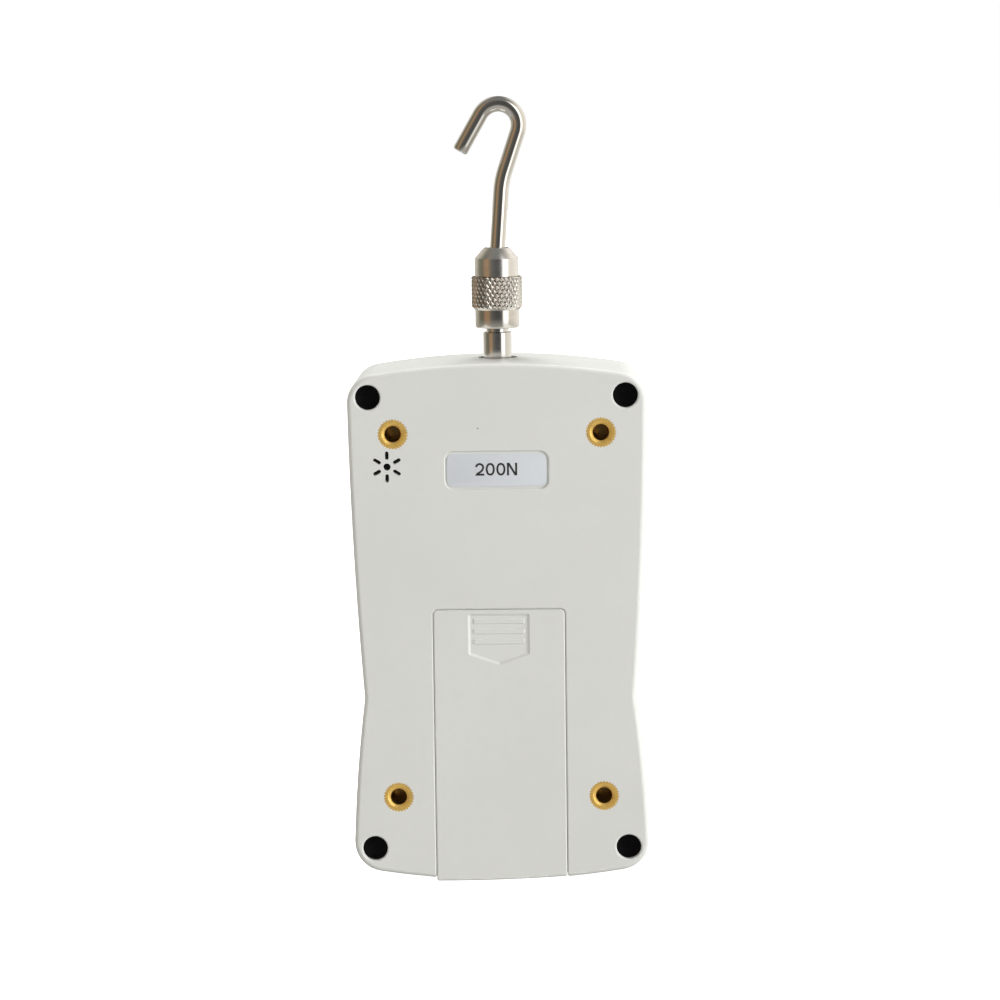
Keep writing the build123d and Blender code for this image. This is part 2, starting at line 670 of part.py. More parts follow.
with BuildPart() as dc_jack:
    with BuildSketch(Plane(origin=(19.5, 23.75, -40.5), x_dir=(0, 1, 0), z_dir=(1, 0, 0))):
        Rectangle(8.5, 9.0)
    extrude(amount=15.0)
    with BuildSketch(Plane(origin=(34.5, 23.75, -40.5), x_dir=(0, 1, 0), z_dir=(1, 0, 0))):
        Circle(3.7)
    extrude(amount=2.6)
    with BuildSketch(Plane(origin=(37.1, 23.75, -40.5), x_dir=(0, 1, 0), z_dir=(1, 0, 0))):
        Circle(2.9)
        Circle(1.0, mode=Mode.SUBTRACT)
    extrude(amount=-11.0, mode=Mode.SUBTRACT)
dc_jack.part.label = "dc_jack"

with BuildPart() as data_port:
    with BuildSketch(Plane(origin=(25.5, 26.1, -26.0), x_dir=(0, 1, 0), z_dir=(1, 0, 0))):
        RectangleRounded(3.8, 7.8, 0.6)
    extrude(amount=10.0)
    with BuildSketch(Plane(origin=(35.5, 26.1, -26.0), x_dir=(0, 1, 0), z_dir=(1, 0, 0))):
        RectangleRounded(3.0, 7.0, 0.4)
        Rectangle(0.9, 4.6, mode=Mode.SUBTRACT)
    extrude(amount=-6.5, mode=Mode.SUBTRACT)
data_port.part.label = "data_port"

# ------------------------------------------------------------------- battery
with BuildPart() as battery_pack:
    with BuildSketch(Plane(origin=(0, 14.6, -64.4), x_dir=(1, 0, 0), z_dir=(0, 0, 1))):
        with GridLocations(10.5, 10.5, 3, 2):
            Circle(5.25)
        Rectangle(21.0, 19.6)
        Rectangle(30.1, 10.5)
    extrude(amount=46.0)
battery_pack.part.label = "battery_pack"

with BuildPart() as battery_socket:
    with BuildSketch(face_at(19.0)):
        with Locations((9.0, -9.0)):
            Rectangle(8.4, 6.0)
    extrude(amount=-9.0)
    with BuildSketch(face_at(19.0)):
        with Locations((9.0, -9.0)):
            Rectangle(6.4, 4.2)
    extrude(amount=-5.0, mode=Mode.SUBTRACT)
battery_socket.part.label = "battery_socket"

with BuildPart() as battery_plug:
    with BuildSketch(face_at(14.5)):
        with Locations((9.0, -9.0)):
            Rectangle(7.6, 5.2)
    extrude(amount=-4.5)
    with BuildSketch(face_at(19.0)):
        with Locations((9.0, -9.0)):
            Rectangle(6.2, 4.0)
    extrude(amount=-4.8)
battery_plug.part.label = "battery_plug"


def tube(points, radii, diameter):
    """A round lead along straight runs joined by tangent arcs."""
    with BuildPart() as lead:
        with BuildLine() as route:
            FilletPolyline(*points, radius=radii)
        with BuildSketch(Plane(origin=route.line @ 0, z_dir=route.line % 0)):
            Circle(diameter / 2)
        sweep(path=route.line)
    print("lead", round(lead.part.volume, 2), "expected",
          round(math.pi * diameter ** 2 / 4 * sum(e.length for e in route.edges()), 2))
    return lead.part


battery_lead = Compound([
    tube([(x, 14.5, -9.0), (x, 8.0, -9.0), (x, 8.0, -18.4)], 2.9, 1.3)
    for x in (7.8, 10.2)
])
battery_lead.label = "battery_lead"

# ------------------------------------------------- load cell and its mounting
with BuildPart() as load_cell_frame:
    with BuildSketch(face_at(FRAME_Y0)):
        with Locations((0, 29.25)):
            RectangleRounded(63.0, 31.5, 2.0)
        with Locations((0, 50.0)):
            Rectangle(34.0, 12.0)
        with Locations((0, 31.5)):
            RectangleRounded(34.0, 20.0, 3.0, mode=Mode.SUBTRACT)
        with Locations((-30.0, 40.6)):
            Rectangle(5.6, 4.4, mode=Mode.SUBTRACT)
        with Locations(*FRAME_SCREWS):
            Circle(1.7, mode=Mode.SUBTRACT)
    extrude(amount=-(FRAME_Y1 - FRAME_Y0))
    with BuildSketch(face_at(FRAME_Y1)):
        with Locations((-26.4, 31.5), (26.4, 31.5)):
            Rectangle(7.2, 13.0)
    extrude(amount=-(CELL_Y0 - FRAME_Y1))
    with BuildSketch(face_at(FRAME_Y0)):
        with Locations(*CELL_SCREWS):
            Circle(1.5)
    extrude(amount=-(CELL_Y0 - FRAME_Y0), mode=Mode.SUBTRACT)
load_cell_frame.part.label = "load_cell_frame"

with BuildPart() as load_cell:
    with BuildSketch(face_at(CELL_Y0)):
        with Locations((0, (CELL_Z0 + CELL_Z1) / 2)):
            RectangleRounded(2 * CELL_HX, CELL_Z1 - CELL_Z0, 0.8)
        with Locations(*[(x, 31.5) for x in (-17.5, -10.5, 10.5, 17.5)]):
            Circle(4.5, mode=Mode.SUBTRACT)
        with Locations(*CELL_SCREWS):
            Circle(1.7, mode=Mode.SUBTRACT)
    extrude(amount=-(CELL_Y1 - CELL_Y0))
    with BuildSketch(face_at(23.2)):
        with Locations(*CELL_SCREWS):
            Circle(2.9)
    extrude(amount=-4.0, mode=Mode.SUBTRACT)
    with BuildSketch(level(CELL_Z0 - 1)):
        Circle(STUD_D / 2 + 0.05)
    extrude(amount=CELL_Z1 - CELL_Z0 + 2, mode=Mode.SUBTRACT)
load_cell.part.label = "load_cell"

with BuildPart() as load_cell_screws:
    with BuildSketch(face_at(23.2)):
        with Locations(*CELL_SCREWS):
            Circle(2.7)
    extrude(amount=-3.0)
    with BuildSketch(face_at(10.4)):
        with Locations(*CELL_SCREWS):
            Circle(1.47)
    extrude(amount=-12.8)
    with BuildSketch(face_at(24.4)):
        with Locations(*CELL_SCREWS):
            RegularPolygon(1.45, 6)
    extrude(amount=-3.0, mode=Mode.SUBTRACT)
load_cell_screws.part.label = "load_cell_screws"

with BuildPart() as frame_screws:
    with BuildSketch(face_at(FRAME_Y1)):
        with Locations(*FRAME_SCREWS):
            Circle(2.8)
    extrude(amount=-2.2)
    fillet(frame_screws.faces().group_by(Axis.Y)[-1].edges(), radius=0.8)
    with BuildSketch(face_at(4.0)):
        with Locations(*FRAME_SCREWS):
            Circle(1.47)
    extrude(amount=-9.0)
    with BuildSketch(face_at(FRAME_Y1 + 0.9)):
        with Locations(*FRAME_SCREWS):
            Rectangle(3.0, 0.75)
            Rectangle(0.75, 3.0)
    extrude(amount=-3.0, mode=Mode.SUBTRACT)
frame_screws.part.label = "frame_screws"

with BuildPart() as strain_gauges:
    with BuildSketch(level(CELL_Z1)):
        with Locations(*[(x, 0) for x in (-17.5, -10.5, 10.5, 17.5)]):
            Rectangle(4.4, 6.0)
    extrude(amount=0.15)
strain_gauges.part.label = "strain_gauges"

load_cell_cable = tube(
    [(-22.0, 20.5, 38.0), (-22.0, 20.5, 44.5), (-22.0, 25.2, 44.5)], 2.1, 1.8)
load_cell_cable.label = "load_cell_cable"

buzzer_leads = Compound([
    tube([(-29.3, 6.7, z), (-29.3, 14.5, z), (-26.6, 20.5, z), (-26.6, 28.0, z)],
         [3.0, 3.0], 0.9)
    for z in (39.7, 41.2)
])
buzzer_leads.label = "buzzer_leads"

# ------------------------------------------------------------ measuring axis
with BuildPart() as sensing_shaft:
    with BuildSketch(level(19.5)):
        Circle(STUD_D / 2)
    extrude(amount=CELL_Z1 - 19.5)
    with BuildSketch(level(CELL_Z1)):
        Circle(SHAFT_D / 2)
    extrude(amount=SHOULDER_Z - CELL_Z1)
    chamfer(sensing_shaft.faces().sort_by(Axis.Z)[-1].edges(), length=0.5)
    with BuildSketch(level(SHOULDER_Z)):
        Circle(NECK_D / 2)
    extrude(amount=NECK)
    with BuildSketch(level(COUPLER_Z0)):
        Circle(STUD_D / 2)
    extrude(amount=10.0 - NECK)
    chamfer(sensing_shaft.faces().sort_by(Axis.Z)[-1].edges(), length=0.6)
    chamfer(sensing_shaft.faces().sort_by(Axis.Z)[0].edges(), length=0.6)
sensing_shaft.part.label = "sensing_shaft"

with BuildPart() as shaft_nut:
    with BuildSketch(level(20.0)):
        RegularPolygon(5.77, 6)
        Circle(STUD_D / 2, mode=Mode.SUBTRACT)
    extrude(amount=CELL_Z0 - 20.0)
shaft_nut.part.label = "shaft_nut"

with BuildPart() as dust_ring:
    with BuildSketch(level(60.2)):
        Circle(6.6)
        Circle(SHAFT_D / 2, mode=Mode.SUBTRACT)
    extrude(amount=1.6)
dust_ring.part.label = "dust_ring"

STUD_TOP = SHOULDER_Z + 10.0
CHAMBER_Z = STUD_TOP + 1.5
CEILING_Z = KNURL_Z1 + 2.2
with BuildPart() as coupler_body:
    with BuildSketch(level(COUPLER_Z0)):
        Circle(CPL_LOW_D / 2)
    extrude(amount=CPL_LOW_H)
    chamfer(coupler_body.faces().sort_by(Axis.Z)[0].edges(), length=0.4)
    with BuildSketch(level(KNURL_Z0)):
        Circle(KNURL_D / 2)
    extrude(amount=KNURL_H)
    rings = coupler_body.edges().filter_by(
        lambda e: e.geom_type == GeomType.CIRCLE and abs(e.radius - KNURL_D / 2) < 0.01
    ).sort_by(Axis.Z)
    chamfer(rings[0], length=0.9)
    rings = coupler_body.edges().filter_by(
        lambda e: e.geom_type == GeomType.CIRCLE and abs(e.radius - KNURL_D / 2) < 0.01
    ).sort_by(Axis.Z)
    chamfer(rings[-1], length=0.2)
    with BuildSketch(level(COUPLER_Z0)):
        Circle(STUD_D / 2 + 0.05)
    extrude(amount=CHAMBER_Z - COUPLER_Z0, mode=Mode.SUBTRACT)
    with BuildSketch(level(CHAMBER_Z)):
        Circle(4.75)
    extrude(amount=KNURL_Z1 - CHAMBER_Z, mode=Mode.SUBTRACT)
    mouth = [e for e in coupler_body.edges().filter_by(GeomType.CIRCLE)
             if abs(e.radius - STUD_D / 2 - 0.05) < 0.01
             and abs(e.center().Z - COUPLER_Z0) < 0.01]
    chamfer(mouth, length=0.5)
coupler_body.part.label = "coupler_body"

with BuildPart() as coupler_cap:
    with BuildSketch(level(KNURL_Z1 - 1.8)):
        Circle(4.75)
    extrude(amount=1.8)
    with BuildSketch(Plane(origin=(0, AXIS_Y, 0), x_dir=(1, 0, 0), z_dir=(0, -1, 0))):
        with BuildLine():
            Polyline((0, KNURL_Z1), (CPL_LOW_D / 2, KNURL_Z1),
                     (CPL_LOW_D / 2, KNURL_Z1 + CPL_UP_H),
                     (CONE_TOP_D / 2, COUPLER_Z1), (0, COUPLER_Z1), close=True)
        make_face()
    revolve(axis=Axis((0, AXIS_Y, 0), (0, 0, 1)))
    with BuildSketch(level(KNURL_Z1 - 1.8)):
        Circle(3.7)
    extrude(amount=CEILING_Z - KNURL_Z1 + 1.8, mode=Mode.SUBTRACT)
    with BuildSketch(level(CEILING_Z)):
        Circle(STEM_HOLE_D / 2)
    extrude(amount=COUPLER_Z1 - CEILING_Z, mode=Mode.SUBTRACT)
coupler_cap.part.label = "coupler_cap"

with BuildPart() as thrust_washer:
    with BuildSketch(level(CHAMBER_Z + 0.3)):
        Circle(4.55)
        Circle(1.6, mode=Mode.SUBTRACT)
    extrude(amount=0.7)
thrust_washer.part.label = "thrust_washer"

HOOK_Z0 = KNURL_Z1 - 0.4
COLLAR_H = 2.3
with BuildPart() as hook_collar:
    with BuildSketch(level(HOOK_Z0)):
        Circle(COLLAR_D / 2)
        Circle(WIRE_D / 2, mode=Mode.SUBTRACT)
    extrude(amount=COLLAR_H)
hook_collar.part.label = "hook_collar"

# hook wire: stem that leans a little from its collar, a stronger lean to the
# right, back upright into a tight bow over the measuring axis, and a straight
# leg that ends square
BOW_R, BOW_X, BOW_Z = 5.34, 0.91, COUPLER_Z1 + 32.23
ROOT, ROOT_R = math.radians(4.2), 20.0
LEAN, LEAN_R, BACK_R = math.radians(18.7), 23.8, 6.4
LEG, LEG_L = math.radians(150.0), 11.1


def on_arc(cx, cz, r, angle):
    return (cx + r * math.cos(angle), cz + r * math.sin(angle))


bow_in = (BOW_X + BOW_R, BOW_Z)
back_in = on_arc(bow_in[0] - BACK_R, BOW_Z, BACK_R, -LEAN)
back_mid = on_arc(bow_in[0] - BACK_R, BOW_Z, BACK_R, -LEAN / 2)
root_z = HOOK_Z0 + COLLAR_H
root_mid = on_arc(ROOT_R, root_z, ROOT_R, math.pi - ROOT / 2)
root_out = on_arc(ROOT_R, root_z, ROOT_R, math.pi - ROOT)
# height at which the stem's straight meets the lean, so that both are tangent
turn_x = LEAN_R * (math.cos(ROOT) - math.cos(LEAN))
turn_z = LEAN_R * (math.sin(LEAN) - math.sin(ROOT))
STEM_Z = (
    (back_in[1] - turn_z) * math.tan(LEAN) - back_in[0] + root_out[0]
    - root_out[1] * math.tan(ROOT) + turn_x
) / (math.tan(LEAN) - math.tan(ROOT))
stem_x = root_out[0] + (STEM_Z - root_out[1]) * math.tan(ROOT)
lean_cx, lean_cz = stem_x + LEAN_R * math.cos(ROOT), STEM_Z - LEAN_R * math.sin(ROOT)
lean_mid = on_arc(lean_cx, lean_cz, LEAN_R, math.pi - (ROOT + LEAN) / 2)
lean_x, lean_z = on_arc(lean_cx, lean_cz, LEAN_R, math.pi - LEAN)
bow_top = on_arc(BOW_X, BOW_Z, BOW_R, LEG / 2)
bow_out = on_arc(BOW_X, BOW_Z, BOW_R, LEG)
tip = (bow_out[0] - LEG_L * math.sin(LEG), bow_out[1] + LEG_L * math.cos(LEG))
with BuildPart() as hook:
    with BuildLine(Plane(origin=(0, AXIS_Y, 0), x_dir=(1, 0, 0), z_dir=(0, -1, 0))) as wire:
        Line((0, HOOK_Z0), (0, root_z))
        ThreePointArc((0, root_z), root_mid, root_out)
        Line(root_out, (stem_x, STEM_Z))
        ThreePointArc((stem_x, STEM_Z), lean_mid, (lean_x, lean_z))
        Line((lean_x, lean_z), back_in)
        ThreePointArc(back_in, back_mid, bow_in)
        ThreePointArc(bow_in, bow_top, bow_out)
        Line(bow_out, tip)
    with BuildSketch(level(HOOK_Z0)):
        Circle(WIRE_D / 2)
    sweep(path=wire.line)
    tip_edges = hook.edges().filter_by(GeomType.CIRCLE).sort_by_distance(
        Vector(tip[0], AXIS_Y, tip[1]))[0]
    chamfer(tip_edges, length=0.45)
hook.part.label = "hook"
print("hook tip", [round(v, 2) for v in tip], "stem ends", round(STEM_Z, 2),
      "lean ends", round(lean_x, 2), round(lean_z, 2),
      "top", round(BOW_Z + BOW_R + WIRE_D / 2, 2))

# --------------------------------------------------------------------- export
for piece in (
    back_shell, front_shell, battery_door, threaded_inserts, case_screws,
    screw_plugs, shell_inserts, capacity_label, lcd_window, lcd_module,
    lcd_frame, keypad_overlay, key_switches, main_pcb, pcb_screws,
    microcontroller, amplifier_shield, signal_connector, buzzer, dc_jack,
    data_port, battery_pack, battery_socket, battery_plug, load_cell_frame,
    load_cell, load_cell_screws, frame_screws, strain_gauges, sensing_shaft,
    shaft_nut, dust_ring, coupler_body, coupler_cap, thrust_washer,
    hook_collar, hook,
):
    export_step(piece.part, f"parts/{piece.part.label}.step")
for piece in (battery_lead, load_cell_cable, buzzer_leads, *key_parts.values()):
    export_step(piece, f"parts/{piece.label}.step")
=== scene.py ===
import math
import bpy
from mathutils import Matrix, Vector


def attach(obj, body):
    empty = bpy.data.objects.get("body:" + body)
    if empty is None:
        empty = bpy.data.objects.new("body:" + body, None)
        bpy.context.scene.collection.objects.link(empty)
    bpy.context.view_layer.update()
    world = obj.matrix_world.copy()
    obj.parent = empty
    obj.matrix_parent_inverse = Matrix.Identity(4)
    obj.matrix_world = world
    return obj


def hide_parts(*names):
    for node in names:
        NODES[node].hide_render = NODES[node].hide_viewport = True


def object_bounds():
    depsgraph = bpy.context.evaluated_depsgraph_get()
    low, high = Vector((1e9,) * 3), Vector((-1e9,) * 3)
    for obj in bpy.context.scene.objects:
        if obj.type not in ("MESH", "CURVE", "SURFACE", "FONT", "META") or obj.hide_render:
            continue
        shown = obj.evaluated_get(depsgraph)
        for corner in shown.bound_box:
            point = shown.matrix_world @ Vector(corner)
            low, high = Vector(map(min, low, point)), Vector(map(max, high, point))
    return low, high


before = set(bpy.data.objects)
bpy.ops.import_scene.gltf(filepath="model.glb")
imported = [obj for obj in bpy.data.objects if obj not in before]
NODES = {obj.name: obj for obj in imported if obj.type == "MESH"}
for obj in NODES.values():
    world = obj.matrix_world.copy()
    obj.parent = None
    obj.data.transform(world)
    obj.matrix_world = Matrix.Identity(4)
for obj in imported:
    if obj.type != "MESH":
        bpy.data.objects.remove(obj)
cad_lo, cad_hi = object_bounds()
MM = 0.001
AY = 20.5            # depth of the measuring axis, mm
scene = bpy.context.scene
scene.view_settings.view_transform = "Standard"
scene.view_settings.look = "None"
scene.view_settings.exposure = 0.0
scene.view_settings.gamma = 1.0


# ------------------------------------------------------------------ camera
def aim_camera():
    pitch, yaw, roll = math.radians(7.548), math.radians(-1.507), math.radians(-0.747)
    fwd = Vector((math.sin(yaw) * math.cos(pitch), math.cos(yaw) * math.cos(pitch),
                  -math.sin(pitch)))
    right = Vector((math.cos(yaw), -math.sin(yaw), 0.0))
    up = right.cross(fwd)
    r2 = right * math.cos(roll) + up * math.sin(roll)
    u2 = -right * math.sin(roll) + up * math.cos(roll)
    data = bpy.data.cameras.new("camera")
    data.lens, data.sensor_width, data.sensor_fit = 118.64, 36.0, "HORIZONTAL"
    data.clip_start, data.clip_end = 0.02, 40.0
    cam = bpy.data.objects.new("camera", data)
    scene.collection.objects.link(cam)
    m = Matrix.Identity(4)
    for i, axis in enumerate((r2, u2, -fwd)):
        for k in range(3):
            m[k][i] = axis[k]
    m.translation = Vector((0.022968, -0.848125, 0.143020))
    cam.matrix_world = m
    scene.camera = cam


aim_camera()


# ------------------------------------------------------------ mesh helpers
def mesh_piece(name, verts, faces, body, material, slot=None, sharp=32.0,
               replaces=(), scale=MM):
    """A mesh from points in mm, riding on a body."""
    me = bpy.data.meshes.new(name)
    me.from_pydata([tuple(c * scale for c in v) for v in verts], [], faces)
    me.validate(clean_customdata=False)
    me.update()
    me.shade_smooth()
    me.set_sharp_from_angle(angle=math.radians(sharp))
    o = bpy.data.objects.new(name, me)
    scene.collection.objects.link(o)
    me.materials.append(material)
    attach(o, body)
    if replaces:
        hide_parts(*replaces)
    return o


def up_axis(cx=0.0, cy=AY):
    """Local (x, y, z) to the frame, with the local axis upright."""
    return lambda x, y, z: (cx + x, cy + y, z)


def into_back(cx, cz):
    """Local axis runs from the back face into the case (+Y)."""
    return lambda x, y, z: (cx + x, z, cz - y)


def revolve(profile, seg, place, radius=None, closed=True):
    """Points (r, z) turned about the local axis. radius(r, z, angle, j) may
    shape each ring. A point with r = 0 is one vertex on the axis. The profile
    runs so that its outside lies to its right when drawn with r across."""
    verts, faces, rings = [], [], []
    for j, (r, z) in enumerate(profile):
        if r <= 1e-9:
            rings.append([len(verts)])
            verts.append(place(0.0, 0.0, z))
            continue
        ring = []
        for i in range(seg):
            a = 2 * math.pi * i / seg
            rr = radius(r, z, a, j) if radius else r
            ring.append(len(verts))
            verts.append(place(rr * math.cos(a), rr * math.sin(a), z))
        rings.append(ring)
    pairs = list(zip(rings, rings[1:]))
    if closed:
        pairs.append((rings[-1], rings[0]))
    for lo, hi in pairs:
        if len(lo) == 1 and len(hi) == 1:
            continue
        for i in range(seg):
            k = (i + 1) % seg
            if len(lo) == 1:
                faces.append((lo[0], hi[k], hi[i]))
            elif len(hi) == 1:
                faces.append((lo[i], lo[k], hi[0]))
            else:
                faces.append((lo[i], lo[k], hi[k], hi[i]))
    return verts, faces


def join(parts):
    verts, faces = [], []
    for v, f in parts:
        base = len(verts)
        verts += v
        faces += [tuple(i + base for i in face) for face in f]
    return verts, faces


def flip(part):
    v, f = part
    return v, [tuple(reversed(face)) for face in f]


def prism(outline, y0, y1):
    """A closed plate: outline of (x, z), between two depths."""
    n = len(outline)
    verts = [(x, y0, z) for x, z in outline] + [(x, y1, z) for x, z in outline]
    area = sum(outline[i][0] * outline[(i + 1) % n][1]
               - outline[(i + 1) % n][0] * outline[i][1] for i in range(n))
    faces = [tuple(range(n)), tuple(reversed(range(n, 2 * n)))]
    faces += [(i + n, (i + 1) % n + n, (i + 1) % n, i) for i in range(n)]
    if area < 0:
        faces = [tuple(reversed(f)) for f in faces]
    return verts, faces


def band(outer, inner, y0, y1):
    """A flat ring between two outlines with the same number of points."""
    n = len(outer)
    verts = ([(x, y0, z) for x, z in outer] + [(x, y0, z) for x, z in inner]
             + [(x, y1, z) for x, z in outer] + [(x, y1, z) for x, z in inner])
    faces = []
    for i in range(n):
        k = (i + 1) % n
        faces.append((i, k, n + k, n + i))
        faces.append((2 * n + k, 2 * n + i, 3 * n + i, 3 * n + k))
        faces.append((2 * n + i, 2 * n + k, k, i))
        faces.append((n + i, n + k, 3 * n + k, 3 * n + i))
    return verts, faces


def round_rect(cx, cz, w, h, r, n=8):
    pts = []
    for qx, qz, a0 in ((1, 1, 0), (-1, 1, 90), (-1, -1, 180), (1, -1, 270)):
        for i in range(n + 1):
            a = math.radians(a0 + 90 * i / n)
            pts.append((cx + qx * (w / 2 - r) + r * math.cos(a),
                        cz + qz * (h / 2 - r) + r * math.sin(a)))
    return pts


def stroke(points, width, y0, y1, closed=False):
    """A flat line of even width through (x, z) points."""
    n = len(points)
    left, right = [], []
    for i, (x, z) in enumerate(points):
        if closed:
            a, b = points[i - 1], points[(i + 1) % n]
        else:
            a, b = points[max(i - 1, 0)], points[min(i + 1, n - 1)]
        dx, dz = b[0] - a[0], b[1] - a[1]
        d = math.hypot(dx, dz) or 1.0
        nx, nz = -dz / d * width / 2, dx / d * width / 2
        left.append((x + nx, z + nz))
        right.append((x - nx, z - nz))
    if closed:
        return band(right, left, y0, y1)
    return prism(right + left[::-1], y0, y1)


def arc(cx, cz, r, a0, a1, n=20):
    return [(cx + r * math.cos(math.radians(a0 + (a1 - a0) * i / n)),
             cz + r * math.sin(math.radians(a0 + (a1 - a0) * i / n)))
            for i in range(n + 1)]


def tri(t):
    """0 at whole numbers, 1 half way between them."""
    return 1.0 - abs(2.0 * (t - math.floor(t)) - 1.0)


# --------------------------------------------------------------- materials
class Nodes:
    """A short way to write a node material."""

    def __init__(self, name):
        self.mat = bpy.data.materials.new(name)
        self.mat.use_nodes = True
        self.tree = self.mat.node_tree
        self.tree.nodes.clear()
        self.out = self.tree.nodes.new("ShaderNodeOutputMaterial")
        self.bsdf = self.tree.nodes.new("ShaderNodeBsdfPrincipled")
        self.tree.links.new(self.bsdf.outputs[0], self.out.inputs[0])
        self.coord = self.tree.nodes.new("ShaderNodeTexCoord")

    def set(self, **values):
        for key, value in values.items():
            self.bsdf.inputs[key.replace("_", " ")].default_value = value
        return self

    def link(self, a, b):
        self.tree.links.new(a, b)

    def node(self, kind, **settings):
        n = self.tree.nodes.new(kind)
        for k, v in settings.items():
            if isinstance(k, str) and hasattr(n, k):
                setattr(n, k, v)
        return n

    def mapped(self, scale=(1, 1, 1), rotation=(0, 0, 0), location=(0, 0, 0)):
        m = self.node("ShaderNodeMapping")
        m.inputs["Scale"].default_value = scale
        m.inputs["Rotation"].default_value = rotation
        m.inputs["Location"].default_value = location
        self.link(self.coord.outputs["Object"], m.inputs["Vector"])
        return m.outputs["Vector"]

    def noise(self, scale, detail=4.0, rough=0.55, vector=None, distortion=0.0):
        n = self.node("ShaderNodeTexNoise")
        n.inputs["Scale"].default_value = scale
        n.inputs["Detail"].default_value = detail
        n.inputs["Roughness"].default_value = rough
        n.inputs["Distortion"].default_value = distortion
        self.link(vector or self.coord.outputs["Object"], n.inputs["Vector"])
        return n.outputs["Fac"]

    def voronoi(self, scale, feature="F1", vector=None):
        n = self.node("ShaderNodeTexVoronoi")
        n.feature = feature
        n.inputs["Scale"].default_value = scale
        self.link(vector or self.coord.outputs["Object"], n.inputs["Vector"])
        return n.outputs["Distance"]

    def ramp(self, fac, stops, interpolation="LINEAR"):
        n = self.node("ShaderNodeValToRGB")
        e = n.color_ramp.elements
        while len(e) > 1:
            e.remove(e[-1])
        n.color_ramp.interpolation = interpolation
        for i, (pos, col) in enumerate(stops):
            c = (col, col, col, 1.0) if not hasattr(col, "__len__") else (*col, 1.0)
            s = e[0] if i == 0 else e.new(pos)
            s.position, s.color = pos, c
        self.link(fac, n.inputs["Fac"])
        return n.outputs["Color"]

    def to(self, fac, lo, hi, a=0.0, b=1.0):
        n = self.node("ShaderNodeMapRange")
        n.inputs["From Min"].default_value = a
        n.inputs["From Max"].default_value = b
        n.inputs["To Min"].default_value = lo
        n.inputs["To Max"].default_value = hi
        self.link(fac, n.inputs["Value"])
        return n.outputs["Result"]

    def math(self, op, a, b=None):
        n = self.node("ShaderNodeMath")
        n.operation = op
        for i, v in enumerate((a, b)):
            if v is None:
                continue
            if isinstance(v, (int, float)):
                n.inputs[i].default_value = v
            else:
                self.link(v, n.inputs[i])
        return n.outputs[0]

    def mix(self, fac, a, b, blend="MIX"):
        n = self.node("ShaderNodeMix")
        n.data_type = "RGBA"
        n.blend_type = blend
        for key, v in ((0, fac), (6, a), (7, b)):
            if hasattr(v, "is_output"):
                self.link(v, n.inputs[key])
            elif key == 0:
                n.inputs[0].default_value = v
            else:
                n.inputs[key].default_value = (*v, 1.0)
        return n.outputs[2]

    def bump(self, height, distance, strength=1.0, normal=None):
        n = self.node("ShaderNodeBump")
        n.inputs["Strength"].default_value = strength
        n.inputs["Distance"].default_value = distance
        self.link(height, n.inputs["Height"])
        if normal is not None:
            self.link(normal, n.inputs["Normal"])
        return n.outputs["Normal"]

    def use(self, socket, output):
        self.link(output, self.bsdf.inputs[socket])
        return self


def shade(c, k):
    return tuple(min(1.0, x * k) for x in c)


def moulded(name, colour, rough=0.42, grain=3800.0, depth=0.000012, vary=0.03,
            specks=False, specular=0.45):
    """Injection-moulded plastic: a fine eroded grain, faint flow clouds, and
    the odd speck of dust."""
    n = Nodes(name)
    cloud = n.noise(26.0, 5.0, 0.6)
    fine = n.noise(420.0, 3.0, 0.6)
    body = n.mix(n.to(cloud, 0.0, 1.0, 0.3, 0.7), shade(colour, 1 - vary),
                 shade(colour, 1 + vary * 0.6))
    body = n.mix(n.to(fine, 0.0, 0.35, 0.42, 0.62), body, shade(colour, 1 - vary * 1.2))
    if specks:
        warped = n.voronoi(62.0)
        dots = n.to(warped, 1.0, 0.0, 0.010, 0.017)
        pick = n.math("GREATER_THAN", n.noise(31.0, 0.0, 0.5), 0.56)
        body = n.mix(n.math("MULTIPLY", n.math("MULTIPLY", dots, pick), 0.55),
                     body, (0.16, 0.15, 0.12))
        here = n.node("ShaderNodeVectorMath", operation="DISTANCE")
        n.link(n.node("ShaderNodeTexCoord").outputs["Object"], here.inputs[0])
        here.inputs[1].default_value = (SPECK[0] * MM, 0.0, SPECK[1] * MM)
        body = n.mix(n.to(here.outputs["Value"], 0.85, 0.0, 0.00010, 0.00026),
                     body, (0.05, 0.045, 0.035))
    n.use("Base Color", body)
    g = n.noise(grain, 2.0, 0.5)
    n.use("Roughness", n.to(n.math("ADD", n.math("MULTIPLY", cloud, 0.5),
                                   n.math("MULTIPLY", g, 0.5)),
                            rough - 0.06, rough + 0.08, 0.3, 0.7))
    n.use("Normal", n.bump(g, depth, 1.0, n.bump(n.noise(95.0, 2.0), 0.00004, 0.5)))
    n.set(IOR=1.5, Specular_IOR_Level=specular)
    return n.mat


